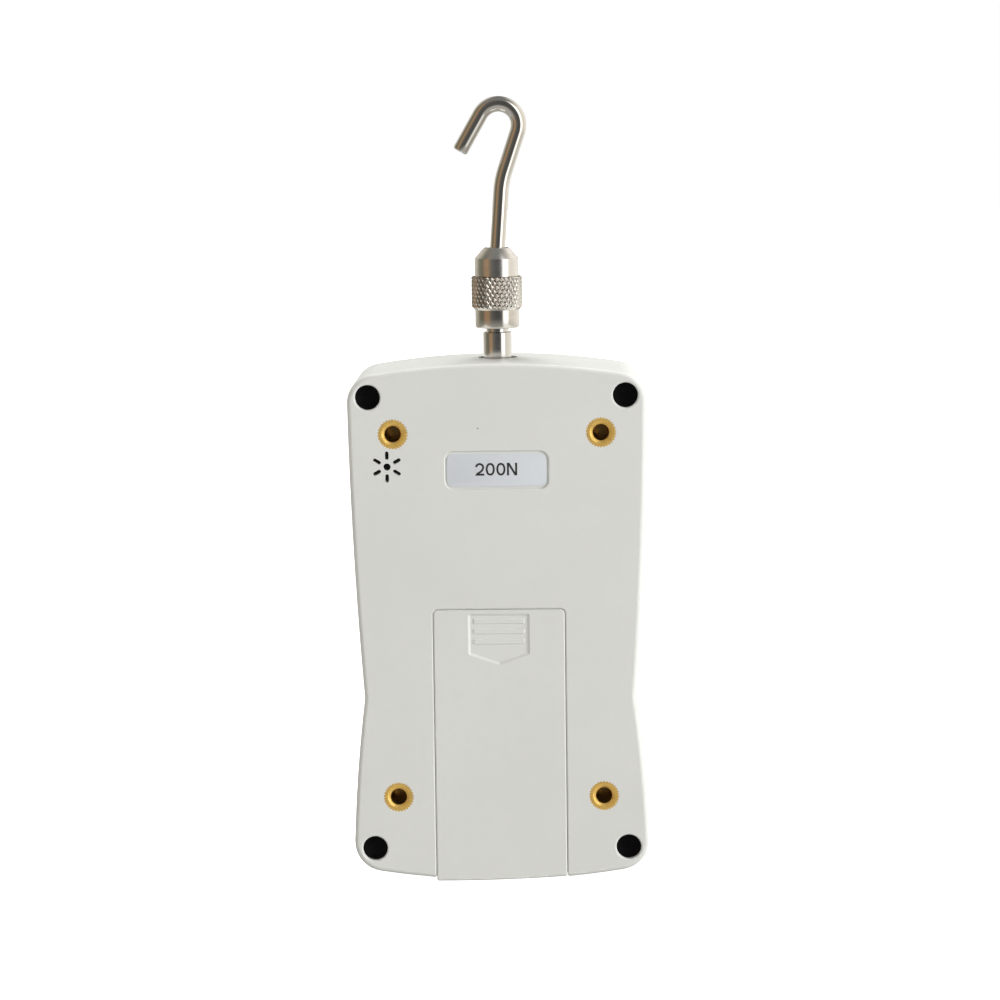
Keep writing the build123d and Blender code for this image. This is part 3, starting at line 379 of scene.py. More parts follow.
def turned_metal(name, colour, rough=0.2, rings=2600.0, ring_depth=0.000004,
                 axis="Z", tarnish=(0.5, 0.46, 0.4), tarnish_amount=0.15):
    """Metal from a lathe: fine feed marks round the axis, a few stains."""
    n = Nodes(name)
    squash = {"Z": (0.02, 0.02, 1.0), "Y": (0.02, 1.0, 0.02)}[axis]
    feed = n.noise(rings, 3.0, 0.7, n.mapped(squash))
    coarse = n.noise(rings / 6, 2.0, 0.6, n.mapped(squash, location=(3, 1, 2)))
    stain = n.noise(140.0, 5.0, 0.65, distortion=0.6)
    base = n.mix(n.math("MULTIPLY", n.to(stain, 0.0, 1.0, 0.5, 0.75), tarnish_amount),
                 colour, tarnish)
    base = n.mix(n.to(feed, 0.0, 0.16, 0.35, 0.65), base, shade(colour, 0.72))
    n.use("Base Color", base)
    n.use("Roughness", n.to(n.math("ADD", n.math("MULTIPLY", feed, 0.6),
                                   n.math("MULTIPLY", stain, 0.4)),
                            rough * 0.7, rough * 1.4, 0.3, 0.7))
    n.use("Normal", n.bump(feed, ring_depth, 1.0, n.bump(coarse, ring_depth * 3, 0.6)))
    n.set(Metallic=1.0)
    return n.mat


def insert_brass(name, rim, painted_bore_shade, rough=0.3):
    """Knurled brass, bright at its face; its colour darkens down its bore, which is painted shade in the
    hole.
    """
    n = Nodes(name)
    parts = n.node("ShaderNodeSeparateXYZ")
    n.link(n.coord.outputs["Object"], parts.inputs[0])
    # painted shade: the deeper into the insert's hole, the more the colour turns to the dark bore colour
    deep = n.to(parts.outputs["Y"], 0.0, 1.0, 0.00034, 0.0010)
    feed = n.noise(2200.0, 3.0, 0.7, n.mapped((0.02, 1.0, 0.02)))
    stain = n.noise(420.0, 4.0, 0.65, distortion=0.5)
    worn = n.mix(n.to(stain, 0.0, 0.8, 0.48, 0.72), rim, shade(rim, 0.66))
    worn = n.mix(n.to(feed, 0.0, 0.15, 0.35, 0.65), worn, shade(rim, 0.75))
    n.use("Base Color", n.mix(deep, worn, painted_bore_shade))
    n.use("Metallic", n.to(deep, 0.50, 0.85))
    n.use("Roughness", n.to(stain, rough * 0.8, rough * 1.4, 0.3, 0.7))
    n.use("Normal", n.bump(feed, 0.000003, 1.0, n.bump(stain, 0.00001, 0.6)))
    return n.mat


def plated(name, colour, rough=0.09, scuff=0.08):
    """Bright drawn wire or plating with smudges and fine scratches."""
    n = Nodes(name)
    smudge = n.noise(90.0, 4.0, 0.6)
    scratch = n.noise(900.0, 2.0, 0.6, n.mapped((1.0, 1.0, 0.05), (0.3, 0.2, 0.0)))
    n.use("Base Color", n.mix(n.to(smudge, 0.0, 0.25, 0.35, 0.7), colour, shade(colour, 0.8)))
    n.use("Roughness", n.to(n.math("ADD", n.math("MULTIPLY", smudge, 0.7),
                                   n.math("MULTIPLY", scratch, 0.3)),
                            rough, rough + scuff, 0.35, 0.7))
    n.use("Normal", n.bump(scratch, 0.000003, 0.5, n.bump(n.noise(160.0, 2.0), 0.00002, 0.5)))
    n.set(Metallic=1.0)
    return n.mat


def rubber(name, colour, rough=0.6):
    n = Nodes(name)
    dust = n.noise(600.0, 4.0, 0.7)
    n.use("Base Color", n.mix(n.to(dust, 0.0, 0.35, 0.52, 0.75), colour,
                              tuple(c * 1.6 + 0.006 for c in colour)))
    n.use("Roughness", n.to(n.noise(220.0, 3.0), rough - 0.1, rough + 0.1, 0.3, 0.7))
    n.use("Normal", n.bump(n.noise(2600.0, 3.0), 0.00001, 1.0))
    n.set(IOR=1.5, Specular_IOR_Level=0.12)
    return n.mat


def printed(name, colour, rough=0.45, mottle=0.05):
    """Ink or film with a slight mottle."""
    n = Nodes(name)
    m = n.noise(1400.0, 3.0, 0.6)
    n.use("Base Color", n.mix(n.to(m, 0.0, 1.0, 0.35, 0.65), shade(colour, 1 - mottle),
                              shade(colour, 1 + mottle * 0.7)))
    n.use("Roughness", n.to(n.noise(300.0, 2.0), rough - 0.05, rough + 0.06, 0.3, 0.7))
    n.use("Normal", n.bump(n.noise(700.0, 2.0), 0.000006, 0.6))
    n.set(Specular_IOR_Level=0.4)
    return n.mat


def board(name):
    """Solder mask over copper tracks."""
    n = Nodes(name)
    v = n.mapped((1.0, 0.001, 1.0))
    brick = n.node("ShaderNodeTexBrick")
    brick.inputs["Scale"].default_value = 240.0
    brick.inputs["Mortar Size"].default_value = 0.18
    brick.inputs["Color1"].default_value = (0, 0, 0, 1)
    brick.inputs["Color2"].default_value = (0, 0, 0, 1)
    brick.inputs["Mortar"].default_value = (1, 1, 1, 1)
    swing = n.node("ShaderNodeCombineXYZ")
    sep = n.node("ShaderNodeSeparateXYZ")
    n.link(v, sep.inputs[0])
    n.link(sep.outputs[0], swing.inputs[0])
    n.link(sep.outputs[2], swing.inputs[1])
    n.link(swing.outputs[0], brick.inputs["Vector"])
    pads = n.to(n.voronoi(420.0, vector=v), 1.0, 0.0, 0.10, 0.13)
    tracks = n.math("MULTIPLY", brick.outputs["Color"],
                    n.math("GREATER_THAN", n.noise(60.0, 1.0, 0.5, v), 0.5))
    base = n.mix(n.math("MULTIPLY", tracks, 0.8), (0.012, 0.10, 0.035), (0.03, 0.22, 0.07))
    base = n.mix(n.math("MULTIPLY", pads, 0.9), base, (0.55, 0.50, 0.40))
    n.use("Base Color", base)
    n.use("Roughness", n.to(pads, 0.28, 0.4))
    n.use("Normal", n.bump(tracks, 0.00002, 0.8))
    n.set(Specular_IOR_Level=0.5)
    return n.mat


def clear(name, tint=(0.97, 0.98, 0.98), rough=0.02):
    n = Nodes(name)
    n.use("Roughness", n.to(n.noise(160.0, 3.0), rough, rough + 0.03, 0.3, 0.8))
    n.use("Base Color", n.mix(n.to(n.noise(40.0, 2.0), 0.0, 1.0, 0.3, 0.7), tint,
                              shade(tint, 0.985)))
    n.set(IOR=1.49, Transmission_Weight=1.0)
    return n.mat


def display(name):
    """Reflective liquid-crystal glass with its faint pixel haze."""
    n = Nodes(name)
    haze = n.noise(50.0, 3.0, 0.5)
    n.use("Base Color", n.mix(n.to(haze, 0.0, 1.0, 0.3, 0.7), (0.30, 0.335, 0.25),
                              (0.35, 0.385, 0.29)))
    n.use("Roughness", n.to(haze, 0.22, 0.3))
    n.use("Normal", n.bump(n.noise(2400.0, 1.0), 0.000003, 0.5))
    n.set(Specular_IOR_Level=0.5)
    return n.mat


SPECK = (-4.9, 49.35)
ABS = moulded("case_plastic", (0.70, 0.712, 0.69), specks=True)
BRASS = turned_metal("brass_turned", (0.86, 0.58, 0.22), 0.24, 2200.0, 0.000003, "Y",
                     (0.45, 0.30, 0.12), 0.35)
# the third colour, (0.40, 0.25, 0.085), is painted shade deep in the insert's bore
INSERT = insert_brass("insert_brass", (0.98, 0.635, 0.17), (0.40, 0.25, 0.085), 0.24)
STEEL = turned_metal("steel_turned", (0.80, 0.785, 0.75), 0.13)
CAP = turned_metal("steel_cap", (0.90, 0.875, 0.83), 0.22, 1900.0, 0.000005, "Z",
                   (0.62, 0.60, 0.56), 0.45)
KNURLED = turned_metal("steel_knurled", (0.78, 0.745, 0.69), 0.14, 1500.0, 0.000003,
                       "Z", (0.36, 0.30, 0.23), 0.4)
CHROME = plated("hook_plating", (0.82, 0.79, 0.73), 0.04, 0.06)
RUBBER = rubber("black_rubber", (0.0026, 0.0027, 0.0030), 0.75)
BLACK = moulded("black_plastic", (0.02, 0.02, 0.021), 0.42, vary=0.2)
KEYGREY = moulded("key_rubber_grey", (0.16, 0.17, 0.185), 0.55, vary=0.08)
KEYRED = moulded("key_rubber_red", (0.45, 0.035, 0.03), 0.5, vary=0.08)
OVERLAY = printed("keypad_film", (0.045, 0.06, 0.10), 0.38)
FILM = printed("label_film", (0.635, 0.672, 0.71), 0.5, 0.012)
INK = printed("label_ink", (0.030, 0.029, 0.028), 0.5)
WHITEINK = printed("key_print", (0.78, 0.78, 0.76), 0.5)
MASK = printed("window_print", (0.018, 0.02, 0.026), 0.35)
SEGMENT = printed("display_segment", (0.028, 0.032, 0.028), 0.4)
GLASS = clear("window_acrylic")
LCD = display("display_glass")
PCB = board("circuit_board")
ZINC = turned_metal("zinc_screws", (0.66, 0.67, 0.70), 0.28, axis="Y")
BLACKSTEEL = turned_metal("black_screws", (0.06, 0.06, 0.065), 0.35, axis="Y")
TINNED = plated("tinned_sheet", (0.72, 0.71, 0.69), 0.22)
ALU = turned_metal("aluminium_beam", (0.74, 0.75, 0.76), 0.3, axis="Y")
GAUGE = printed("gauge_foil", (0.55, 0.28, 0.06), 0.3)
WHITE = moulded("white_nylon", (0.72, 0.71, 0.66), 0.4)
WRAP = moulded("battery_wrap", (0.03, 0.12, 0.42), 0.28, 900.0, 0.000012, 0.15)
CELLSTEEL = plated("cell_can", (0.70, 0.69, 0.67), 0.2)
NICKEL = plated("nickel_strip", (0.68, 0.65, 0.60), 0.24)
RED = moulded("wire_red", (0.50, 0.02, 0.018), 0.4)
DARK = moulded("wire_black", (0.015, 0.015, 0.016), 0.42)
GREY = moulded("wire_grey", (0.25, 0.25, 0.26), 0.42)
CHIP = moulded("chip_epoxy", (0.025, 0.025, 0.027), 0.5, vary=0.15)

NODE_MATERIAL = {
    "back_shell": ABS, "front_shell": ABS, "battery_door": ABS,
    "threaded_inserts": BRASS, "case_screws": BLACKSTEEL, "screw_plugs": RUBBER,
    "shell_inserts": BRASS, "capacity_label": FILM, "lcd_window": GLASS,
    "lcd_module": LCD, "lcd_frame": TINNED, "keypad_overlay": OVERLAY,
    "key_switches": BLACK, "main_pcb": PCB, "pcb_screws": ZINC,
    "microcontroller": CHIP, "amplifier_shield": TINNED, "signal_connector": WHITE,
    "buzzer": BLACK, "buzzer_leads": DARK, "dc_jack": BLACK, "data_port": TINNED,
    "battery_pack": WRAP, "battery_socket": WHITE, "battery_plug": WHITE,
    "battery_lead": RED, "load_cell_frame": STEEL, "load_cell": ALU,
    "load_cell_screws": BLACKSTEEL, "frame_screws": ZINC, "strain_gauges": GAUGE,
    "load_cell_cable": GREY, "sensing_shaft": STEEL, "shaft_nut": ZINC,
    "dust_ring": RUBBER, "coupler_body": KNURLED, "coupler_cap": STEEL,
    "thrust_washer": ZINC, "hook_collar": STEEL, "hook": CHROME,
    "key_power": KEYRED, "key_zero": KEYGREY, "key_peak": KEYGREY,
    "key_unit": KEYGREY, "key_set": KEYGREY, "key_send": KEYGREY,
}
for name, node in NODES.items():
    material = NODE_MATERIAL[name]
    if not node.material_slots:
        node.data.materials.append(material)
    for s in node.material_slots:
        s.material = material


# ------------------------------------------------------------ measuring axis
SHOULDER, NECK = 72.7, 1.2
CPL0 = SHOULDER + NECK
KN0, KN1 = CPL0 + 4.8, CPL0 + 13.5
CPL1 = KN1 + 4.85 + 2.7

# shaft with its relief groove and threaded stud
profile = [(0.0, 19.5), (2.4, 19.5), (3.0, 20.1), (3.0, 38.0), (3.75, 38.0), (3.75, 55.0)]
profile += [(3.75, 55.0 + k * 2.95) for k in range(1, 7)]
profile += [(3.72, 72.3), (3.27, 72.68), (3.1, 72.7), (2.94, 72.82), (2.9, 72.95), (2.9, 74.0), (2.5, 74.2)]
thread0, thread1 = 74.2, 82.1
steps = 95
profile += [(2.99, thread0 + (thread1 - thread0) * k / steps) for k in range(1, steps + 1)]
profile += [(2.35, 82.7), (0.0, 82.7)]


def stud_radius(r, z, a, j):
    if r == 2.99:
        ease = min(1.0, (z - thread0) / 0.5, (thread1 + 0.3 - z) / 0.6)
        return 2.42 + 0.55 * ease * min(1.0, tri(z - a / (2 * math.pi)) * 1.15)
    return r


mesh_piece("shaft_turned", *revolve(profile, 72, up_axis(), stud_radius, False),
           "measuring_shaft", STEEL, "polished_steel", 30, ["sensing_shaft"])

# coupler sleeve: smooth lower band, diamond knurl, threaded bore
TEETH, PITCH_Z, CUT = 32, 2.15, 0.40
KSEG = TEETH * 10
profile = [(3.5, CPL0), (5.3, CPL0), (5.62, CPL0 + 0.12), (5.75, CPL0 + 0.42),
           (5.75, KN0 - 0.12), (5.72, KN0)]
k_rows = 84
ring0 = len(profile)
for k in range(k_rows + 1):
    z = KN0 + (KN1 - KN0) * k / k_rows
    edge = min(6.7, 5.85 + (z - KN0) * 0.98, 6.7 - max(0.0, z - (KN1 - 0.14)) * 1.3)
    profile.append((edge, z))
ring1 = len(profile)
profile += [(4.75, KN1), (4.75, KN1 - 3.0), (3.05, KN1 - 3.2)]
bore0, bore1 = KN1 - 3.2, CPL0 + 0.5
n_bore = 96
b0 = len(profile)
profile += [(3.04, bore0 + (bore1 - bore0) * k / n_bore) for k in range(1, n_bore + 1)]
b1 = len(profile)


def sleeve_radius(r, z, a, j):
    if ring0 <= j < ring1:
        u = a / (2 * math.pi) * TEETH
        v = z / PITCH_Z
        deep = CUT * (1.0 - min(1.0, tri(u + v) / 0.72))
        light = 0.62 * CUT * (1.0 - min(1.0, tri(u - v) / 0.62))
        return min(r, 6.7 - max(deep, light))
    if b0 <= j < b1:
        return 3.04 + 0.12 * tri(z - a / (2 * math.pi))
    return r


mesh_piece("coupler_knurled", *revolve(profile, KSEG, up_axis(), sleeve_radius, True),
           "coupler", KNURLED, "polished_steel", 24, ["coupler_body"])

# cap with its cone and swivel bore
profile = [(3.7, KN1 - 1.8), (4.72, KN1 - 1.8), (4.72, KN1 + 0.01), (5.55, KN1 + 0.02),
           (5.75, KN1 + 0.2), (5.75, KN1 + 2.0), (5.75, KN1 + 4.72), (5.66, KN1 + 4.92),
           (3.38, CPL1 - 0.08), (3.2, CPL1), (2.62, CPL1), (2.46, CPL1 - 0.15),
           (2.46, KN1 + 2.2), (3.7, KN1 + 2.2)]
mesh_piece("coupler_cone", *revolve(profile, 96, up_axis(), None, True),
           "coupler", CAP, "polished_steel", 24, ["coupler_cap"])


# hook wire
def hook_path():
    bow_r, bow_x, bow_z = 5.34, 0.91, CPL1 + 32.23
    root, root_r = math.radians(4.2), 20.0
    lean, lean_r, back_r = math.radians(18.7), 23.8, 6.4
    leg, leg_l = math.radians(150.0), 11.1
    pts = []

    def arc_to(cx, cz, r, a0, a1, n):
        for i in range(1, n + 1):
            a = a0 + (a1 - a0) * i / n
            pts.append((cx + r * math.cos(a), cz + r * math.sin(a)))

    def line_to(x, z, n):
        x0, z0 = pts[-1]
        for i in range(1, n + 1):
            pts.append((x0 + (x - x0) * i / n, z0 + (z - z0) * i / n))

    in_x = bow_x + bow_r
    back = (in_x - back_r + back_r * math.cos(lean), bow_z - back_r * math.sin(lean))
    root_z = KN1 - 0.4 + 2.3
    rx, rz = root_r * (1 - math.cos(root)), root_z + root_r * math.sin(root)
    dx = lean_r * (math.cos(root) - math.cos(lean))
    dz = lean_r * (math.sin(lean) - math.sin(root))
    stem_z = ((back[1] - dz) * math.tan(lean) - back[0] + rx - rz * math.tan(root) + dx) / (
        math.tan(lean) - math.tan(root))
    stem_x = rx + (stem_z - rz) * math.tan(root)
    pts.append((0.0, KN1 - 0.4))
    line_to(0.0, root_z, 3)
    arc_to(root_r, root_z, root_r, math.pi, math.pi - root, 3)
    line_to(stem_x, stem_z, 9)
    arc_to(stem_x + lean_r * math.cos(root), stem_z - lean_r * math.sin(root), lean_r,
           math.pi - root, math.pi - lean, 14)
    line_to(*back, 4)
    arc_to(in_x - back_r, bow_z, back_r, -lean, 0.0, 12)
    arc_to(bow_x, bow_z, bow_r, 0.0, leg, 44)
    out = pts[-1]
    d = (-math.sin(leg), math.cos(leg))
    for i in range(1, 7):
        pts.append((out[0] + d[0] * (leg_l - 0.5) * i / 6,
                    out[1] + d[1] * (leg_l - 0.5) * i / 6))
    return pts, d


def hook_mesh(seg=48, r=2.0):
    pts, end_dir = hook_path()
    verts, faces, rings = [], [], []
    n = len(pts)
    rows = []
    for i, p in enumerate(pts):
        a, b = pts[max(i - 1, 0)], pts[min(i + 1, n - 1)]
        t = Vector((b[0] - a[0], b[1] - a[1])).normalized()
        rows.append((p, t, r))
    t = Vector(end_dir)
    last = pts[-1]
    rows.append(((last[0] + t.x * 0.16, last[1] + t.y * 0.16), t, r - 0.06))
    rows.append(((last[0] + t.x * 0.36, last[1] + t.y * 0.36), t, r - 0.20))
    rows.append(((last[0] + t.x * 0.50, last[1] + t.y * 0.50), t, r - 0.46))
    for (x, z), t, rr in rows:
        ring = []
        for k in range(seg):
            a = 2 * math.pi * k / seg
            side, deep = rr * math.cos(a), rr * math.sin(a)
            ring.append(len(verts))
            verts.append((x + t.y * side, AY + deep, z - t.x * side))
        rings.append(ring)
    for lo, hi in zip(rings, rings[1:]):
        for k in range(seg):
            m = (k + 1) % seg
            faces.append((lo[k], lo[m], hi[m], hi[k]))
    faces.append(tuple(reversed(rings[0])))
    tip = len(verts)
    (x, z), t, rr = rows[-1]
    verts.append((x + t.x * 0.02, AY, z + t.y * 0.02))
    for k in range(seg):
        faces.append((rings[-1][k], rings[-1][(k + 1) % seg], tip))
    return verts, faces


mesh_piece("hook_wire", *hook_mesh(), "hook", CHROME, "hook_chrome", 30, ["hook"])


# ----------------------------------------------------------- threaded inserts
def insert_mesh(cx, cz):
    teeth, seg = 30, 180
    top = 3.95
    profile = [(top, 0.09), (top, 0.35), (top, 3.3), (3.52, 3.7), (3.45, 3.75), (3.45, 4.55),
               (3.52, 4.6), (top, 5.0), (top, 8.0), (3.7, 8.2), (0.0, 8.2)]
    profile += [(0.0, 7.55), (1.6, 7.6), (2.12, 7.65)]
    a0 = len(profile)
    n = 84
    profile += [(2.13, 7.65 - 7.05 * k / n) for k in range(1, n + 1)]
    a1 = len(profile)
    profile += [(2.13, 0.55), (2.2, 0.46), (2.72, 0.12), (2.80, 0.06), (2.90, 0.03),
                (3.5, 0.02), (3.83, 0.025), (3.94, 0.045)]

    def radius(r, z, a, j):
        if r in (top, 3.94, 3.83):
            u = tri(a / (2 * math.pi) * teeth)
            return r - 0.36 * (1.0 - min(1.0, u * 1.35)) * (1.0 if r > 3.85 else 0.8)
        if a0 <= j < a1:
            ease = min(1.0, max(0.0, z - 0.6) / 0.6)
            return 2.13 + 0.14 * tri(z / 0.8 - a / (2 * math.pi)) * ease
        return r

    return flip(revolve(profile, seg, into_back(cx, cz), radius, True))


mesh_piece("inserts_knurled", *join([insert_mesh(x, z) for x in (-27, 27) for z in (-48, 48)]),
           "case", INSERT, "brass", 28, ["threaded_inserts"])


def flash_mesh(cx, cz):
    """The plastic that filled the insert's teeth as it was melted in."""
    profile = [(3.955, 0.045), (3.955, 0.9), (3.3, 0.9), (3.3, 0.10), (3.45, 0.062),
               (3.7, 0.05)]
    return flip(revolve(profile, 120, into_back(cx, cz), None, True))


mesh_piece("insert_seats", *join([flash_mesh(x, z) for x in (-27, 27) for z in (-48, 48)]),
           "case", ABS, "case_abs", 40)


# ---------------------------------------------------------------- screw plugs
def plug_mesh(cx, cz):
    """Rubber cap over a case screw: a soft rim round a dished middle."""
    y = 1.15
    profile = [(3.2, y + 0.22), (3.2, y + 2.7), (3.1, y + 2.9), (0.0, y + 2.9)]
    bowl = [(2.62 * math.cos(math.radians(t)), y + 0.22 + 1.15 * math.sin(math.radians(t)))
            for t in range(90, -1, -10)]
    profile += bowl + [(2.70, y + 0.10), (2.82, y + 0.02), (2.96, y), (3.09, y + 0.04),
                       (3.17, y + 0.12)]
    return flip(revolve(profile, 64, into_back(cx, cz), None, True))


PLUGS = [(x, z) for x in (-33.4, 33.4) for z in (-2.07 - 59.7, -2.07 + 59.7)]
mesh_piece("plugs_dished", *join([plug_mesh(x, z) for x, z in PLUGS]),
           "case", RUBBER, "black_rubber", 40, ["screw_plugs"])


# ----------------------------------------------------------- capacity label
def text_piece(name, body_text, size, cx, cz, y, body, material, spacing=1.0,
               facing=-1, thick=0.012, narrow=1.0):
    curve = bpy.data.curves.new(name, "FONT")
    curve.body = body_text
    curve.size = size
    curve.align_x, curve.align_y = "CENTER", "CENTER"
    curve.space_character = spacing
    curve.extrude = thick / 2
    curve.resolution_u = 10
    tmp = bpy.data.objects.new(name + "_src", curve)
    scene.collection.objects.link(tmp)
    bpy.context.view_layer.update()
    me = bpy.data.meshes.new_from_object(tmp.evaluated_get(bpy.context.evaluated_depsgraph_get()))
    bpy.data.objects.remove(tmp)
    xs = [v.co.x for v in me.vertices]
    ys = [v.co.y for v in me.vertices]
    mx, my = (min(xs) + max(xs)) / 2, (min(ys) + max(ys)) / 2
    for v in me.vertices:
        x, h, d = (v.co.x - mx) * narrow, v.co.y - my, v.co.z
        if facing < 0:
            v.co = Vector(((cx + x) * MM, (y - d) * MM, (cz + h) * MM))
        else:
            v.co = Vector(((cx - x) * MM, (y + d) * MM, (cz + h) * MM))
    me.name = name
    me.materials.clear()
    me.materials.append(material)
    o = bpy.data.objects.new(name, me)
    scene.collection.objects.link(o)
    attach(o, body)
    return o


def label_sheet():
    """The sticker, its edges a little lifted and rounded."""
    outer = round_rect(-0.1, 38.4, 26.0, 8.7, 1.9, 10)
    inner = round_rect(-0.1, 38.4, 25.7, 8.4, 1.75, 10)
    n = len(outer)
    verts = ([(x, 0.48, z) for x, z in outer] + [(x, 0.31, z) for x, z in outer]
             + [(x, 0.27, z) for x, z in inner])
    faces = [tuple(reversed(range(n)))]
    for i in range(n):
        k = (i + 1) % n
        faces.append((i, k, n + k, n + i))
        faces.append((n + i, n + k, 2 * n + k, 2 * n + i))
    faces.append(tuple(range(2 * n, 3 * n)))
    return verts, faces


mesh_piece("label_sheet", *label_sheet(), "case", FILM, "label_film", 40, ["capacity_label"])


def figures(kinds, x0, z0, h, w, gap, t, y0, y1):
    """Plain sans numerals and a unit letter, as flat strokes."""
    out, x = [], x0
    for kind in kinds:
        if kind == "0":
            ring = [(x + w / 2 + (w / 2 - t / 2) * math.copysign(abs(math.cos(a)) ** 0.86, math.cos(a)),
                     z0 + h / 2 + (h / 2 - t / 2) * math.sin(a))
                    for a in [2 * math.pi * i / 48 for i in range(48)]]
            out.append(stroke(ring, t, y0, y1, True))
        elif kind == "2":
            r = w / 2 - t / 2
            cx, cz = x + w / 2, z0 + h - t / 2 - r
            pts = [(cx + r * math.cos(a), cz + r * math.sin(a))
                   for a in [math.radians(172 - 206 * i / 26) for i in range(27)]]
            end = (x + t * 0.75, z0 + t * 0.8)
            last = pts[-1]
            ctrl = (last[0] - 0.30, last[1] - 0.62)
            for i in range(1, 15):
                k = i / 14
                pts.append(((1 - k) ** 2 * last[0] + 2 * k * (1 - k) * ctrl[0] + k * k * end[0],
                            (1 - k) ** 2 * last[1] + 2 * k * (1 - k) * ctrl[1] + k * k * end[1]))
            out.append(stroke(pts, t, y0, y1))
            out.append(prism([(x + 0.02, z0), (x + w, z0), (x + w, z0 + t), (x + 0.30, z0 + t)],
                             y0 + 0.0004, y1))
        else:
            wn = w * 1.12
            out.append(prism([(x, z0), (x + t, z0), (x + t, z0 + h), (x, z0 + h)], y0, y1))
            out.append(prism([(x + wn - t, z0), (x + wn, z0), (x + wn, z0 + h),
                              (x + wn - t, z0 + h)], y0, y1))
            out.append(prism([(x + 0.02, z0 + h), (x + t * 1.25, z0 + h), (x + wn - 0.02, z0),
                              (x + wn - t * 1.25, z0)], y0 - 0.0004, y1))
            x += wn - w
        x += w + gap
    return out


mesh_piece("label_figures",
           *join(figures("200N", -5.72, 36.98, 3.3, 2.36, 0.40, 0.52, 0.256, 0.272)),
           "case", INK, "black_plastic", 40)

# ------------------------------------------------------------- front: display
FY = 33.2
parts = []


def segment_digit(x0, z0, w, h, on, t=1.15, slant=0.10, gap=0.16):
    """Seven bars, read from the display side, where +X is to the left."""
    def put(pts):
        return [(-(x0 + x + slant * z), z0 + z) for x, z in pts]

    m = h / 2
    b = t / 2
    bars = {
        "a": [(b + gap, h), (w - b - gap, h), (w - b - gap - b, h - t), (b + gap + b, h - t)],
        "d": [(b + gap + b, t), (w - b - gap - b, t), (w - b - gap, 0), (b + gap, 0)],
        "g": [(b + gap, m), (b + gap + b, m + b), (w - b - gap - b, m + b), (w - b - gap, m),
              (w - b - gap - b, m - b), (b + gap + b, m - b)],
        "f": [(0, h - b - gap), (0, m + gap), (b, m + gap + 0.1), (t, m + b + gap),
              (t, h - t - gap), (b, h - b - gap)],
        "b": [(w, h - b - gap), (w, m + gap), (w - b, m + gap + 0.1), (w - t, m + b + gap),
              (w - t, h - t - gap), (w - b, h - b - gap)],
        "e": [(0, b + gap), (0, m - gap), (b, m - gap - 0.1), (t, m - b - gap),
              (t, t + gap), (b, b + gap)],
        "c": [(w, b + gap), (w, m - gap), (w - b, m - gap - 0.1), (w - t, m - b - gap),
              (w - t, t + gap), (w - b, b + gap)],
    }
    return [prism(put(bars[k]), FY, FY + 0.04) for k in on]


for x0 in (-7.2, 1.6, 10.4):
    parts += segment_digit(x0, 24.2, 6.6, 12.6, "abcdef")
parts.append(prism([(-(x + 0.0), z) for x, z in ((0.1, 24.2), (1.2, 24.2), (1.2, 25.3), (0.1, 25.3))],
                   FY, FY + 0.04))
# battery sign, level bar
parts.append(band([(-x, z) for x, z in ((-20.6, 38.6), (-14.8, 38.6), (-14.8, 41.4), (-20.6, 41.4))],
                  [(-x, z) for x, z in ((-20.2, 39.0), (-15.2, 39.0), (-15.2, 41.0), (-20.2, 41.0))],
                  FY, FY + 0.04))
for k in range(3):
    parts.append(prism([(-x, z) for x, z in ((-19.9 + 1.6 * k, 39.3), (-18.7 + 1.6 * k, 39.3),
                                             (-18.7 + 1.6 * k, 40.7), (-19.9 + 1.6 * k, 40.7))],
                       FY, FY + 0.04))
for k in range(20):
    x = -9.0 + 1.35 * k
    parts.append(prism([(-a, z) for a, z in ((x, 39.2), (x + 0.8, 39.2), (x + 0.8, 40.8), (x, 40.8))],
                       FY, FY + 0.04))
mesh_piece("display_figures", *join(parts), "case", SEGMENT, "black_plastic", 40)
text_piece("display_unit", "N", 5.6, -19.9, 26.4, FY + 0.03, "case", SEGMENT, facing=1, thick=0.03)
# black print behind the clear window
mesh_piece("window_border", *band(round_rect(0, 31, 55.4, 35.4, 2.8, 10),
                                  round_rect(0, 31, 47.0, 25.2, 1.4, 10), 34.30, 34.37),
           "case", MASK, "black_plastic", 40)

# ---------------------------------------------------------- front: key signs
KY = {"power": (-18, -12), "zero": (0, -12), "peak": (18, -12),
      "unit": (-18, -29), "set": (0, -29), "send": (18, -29)}
CAP_Y = 36.9


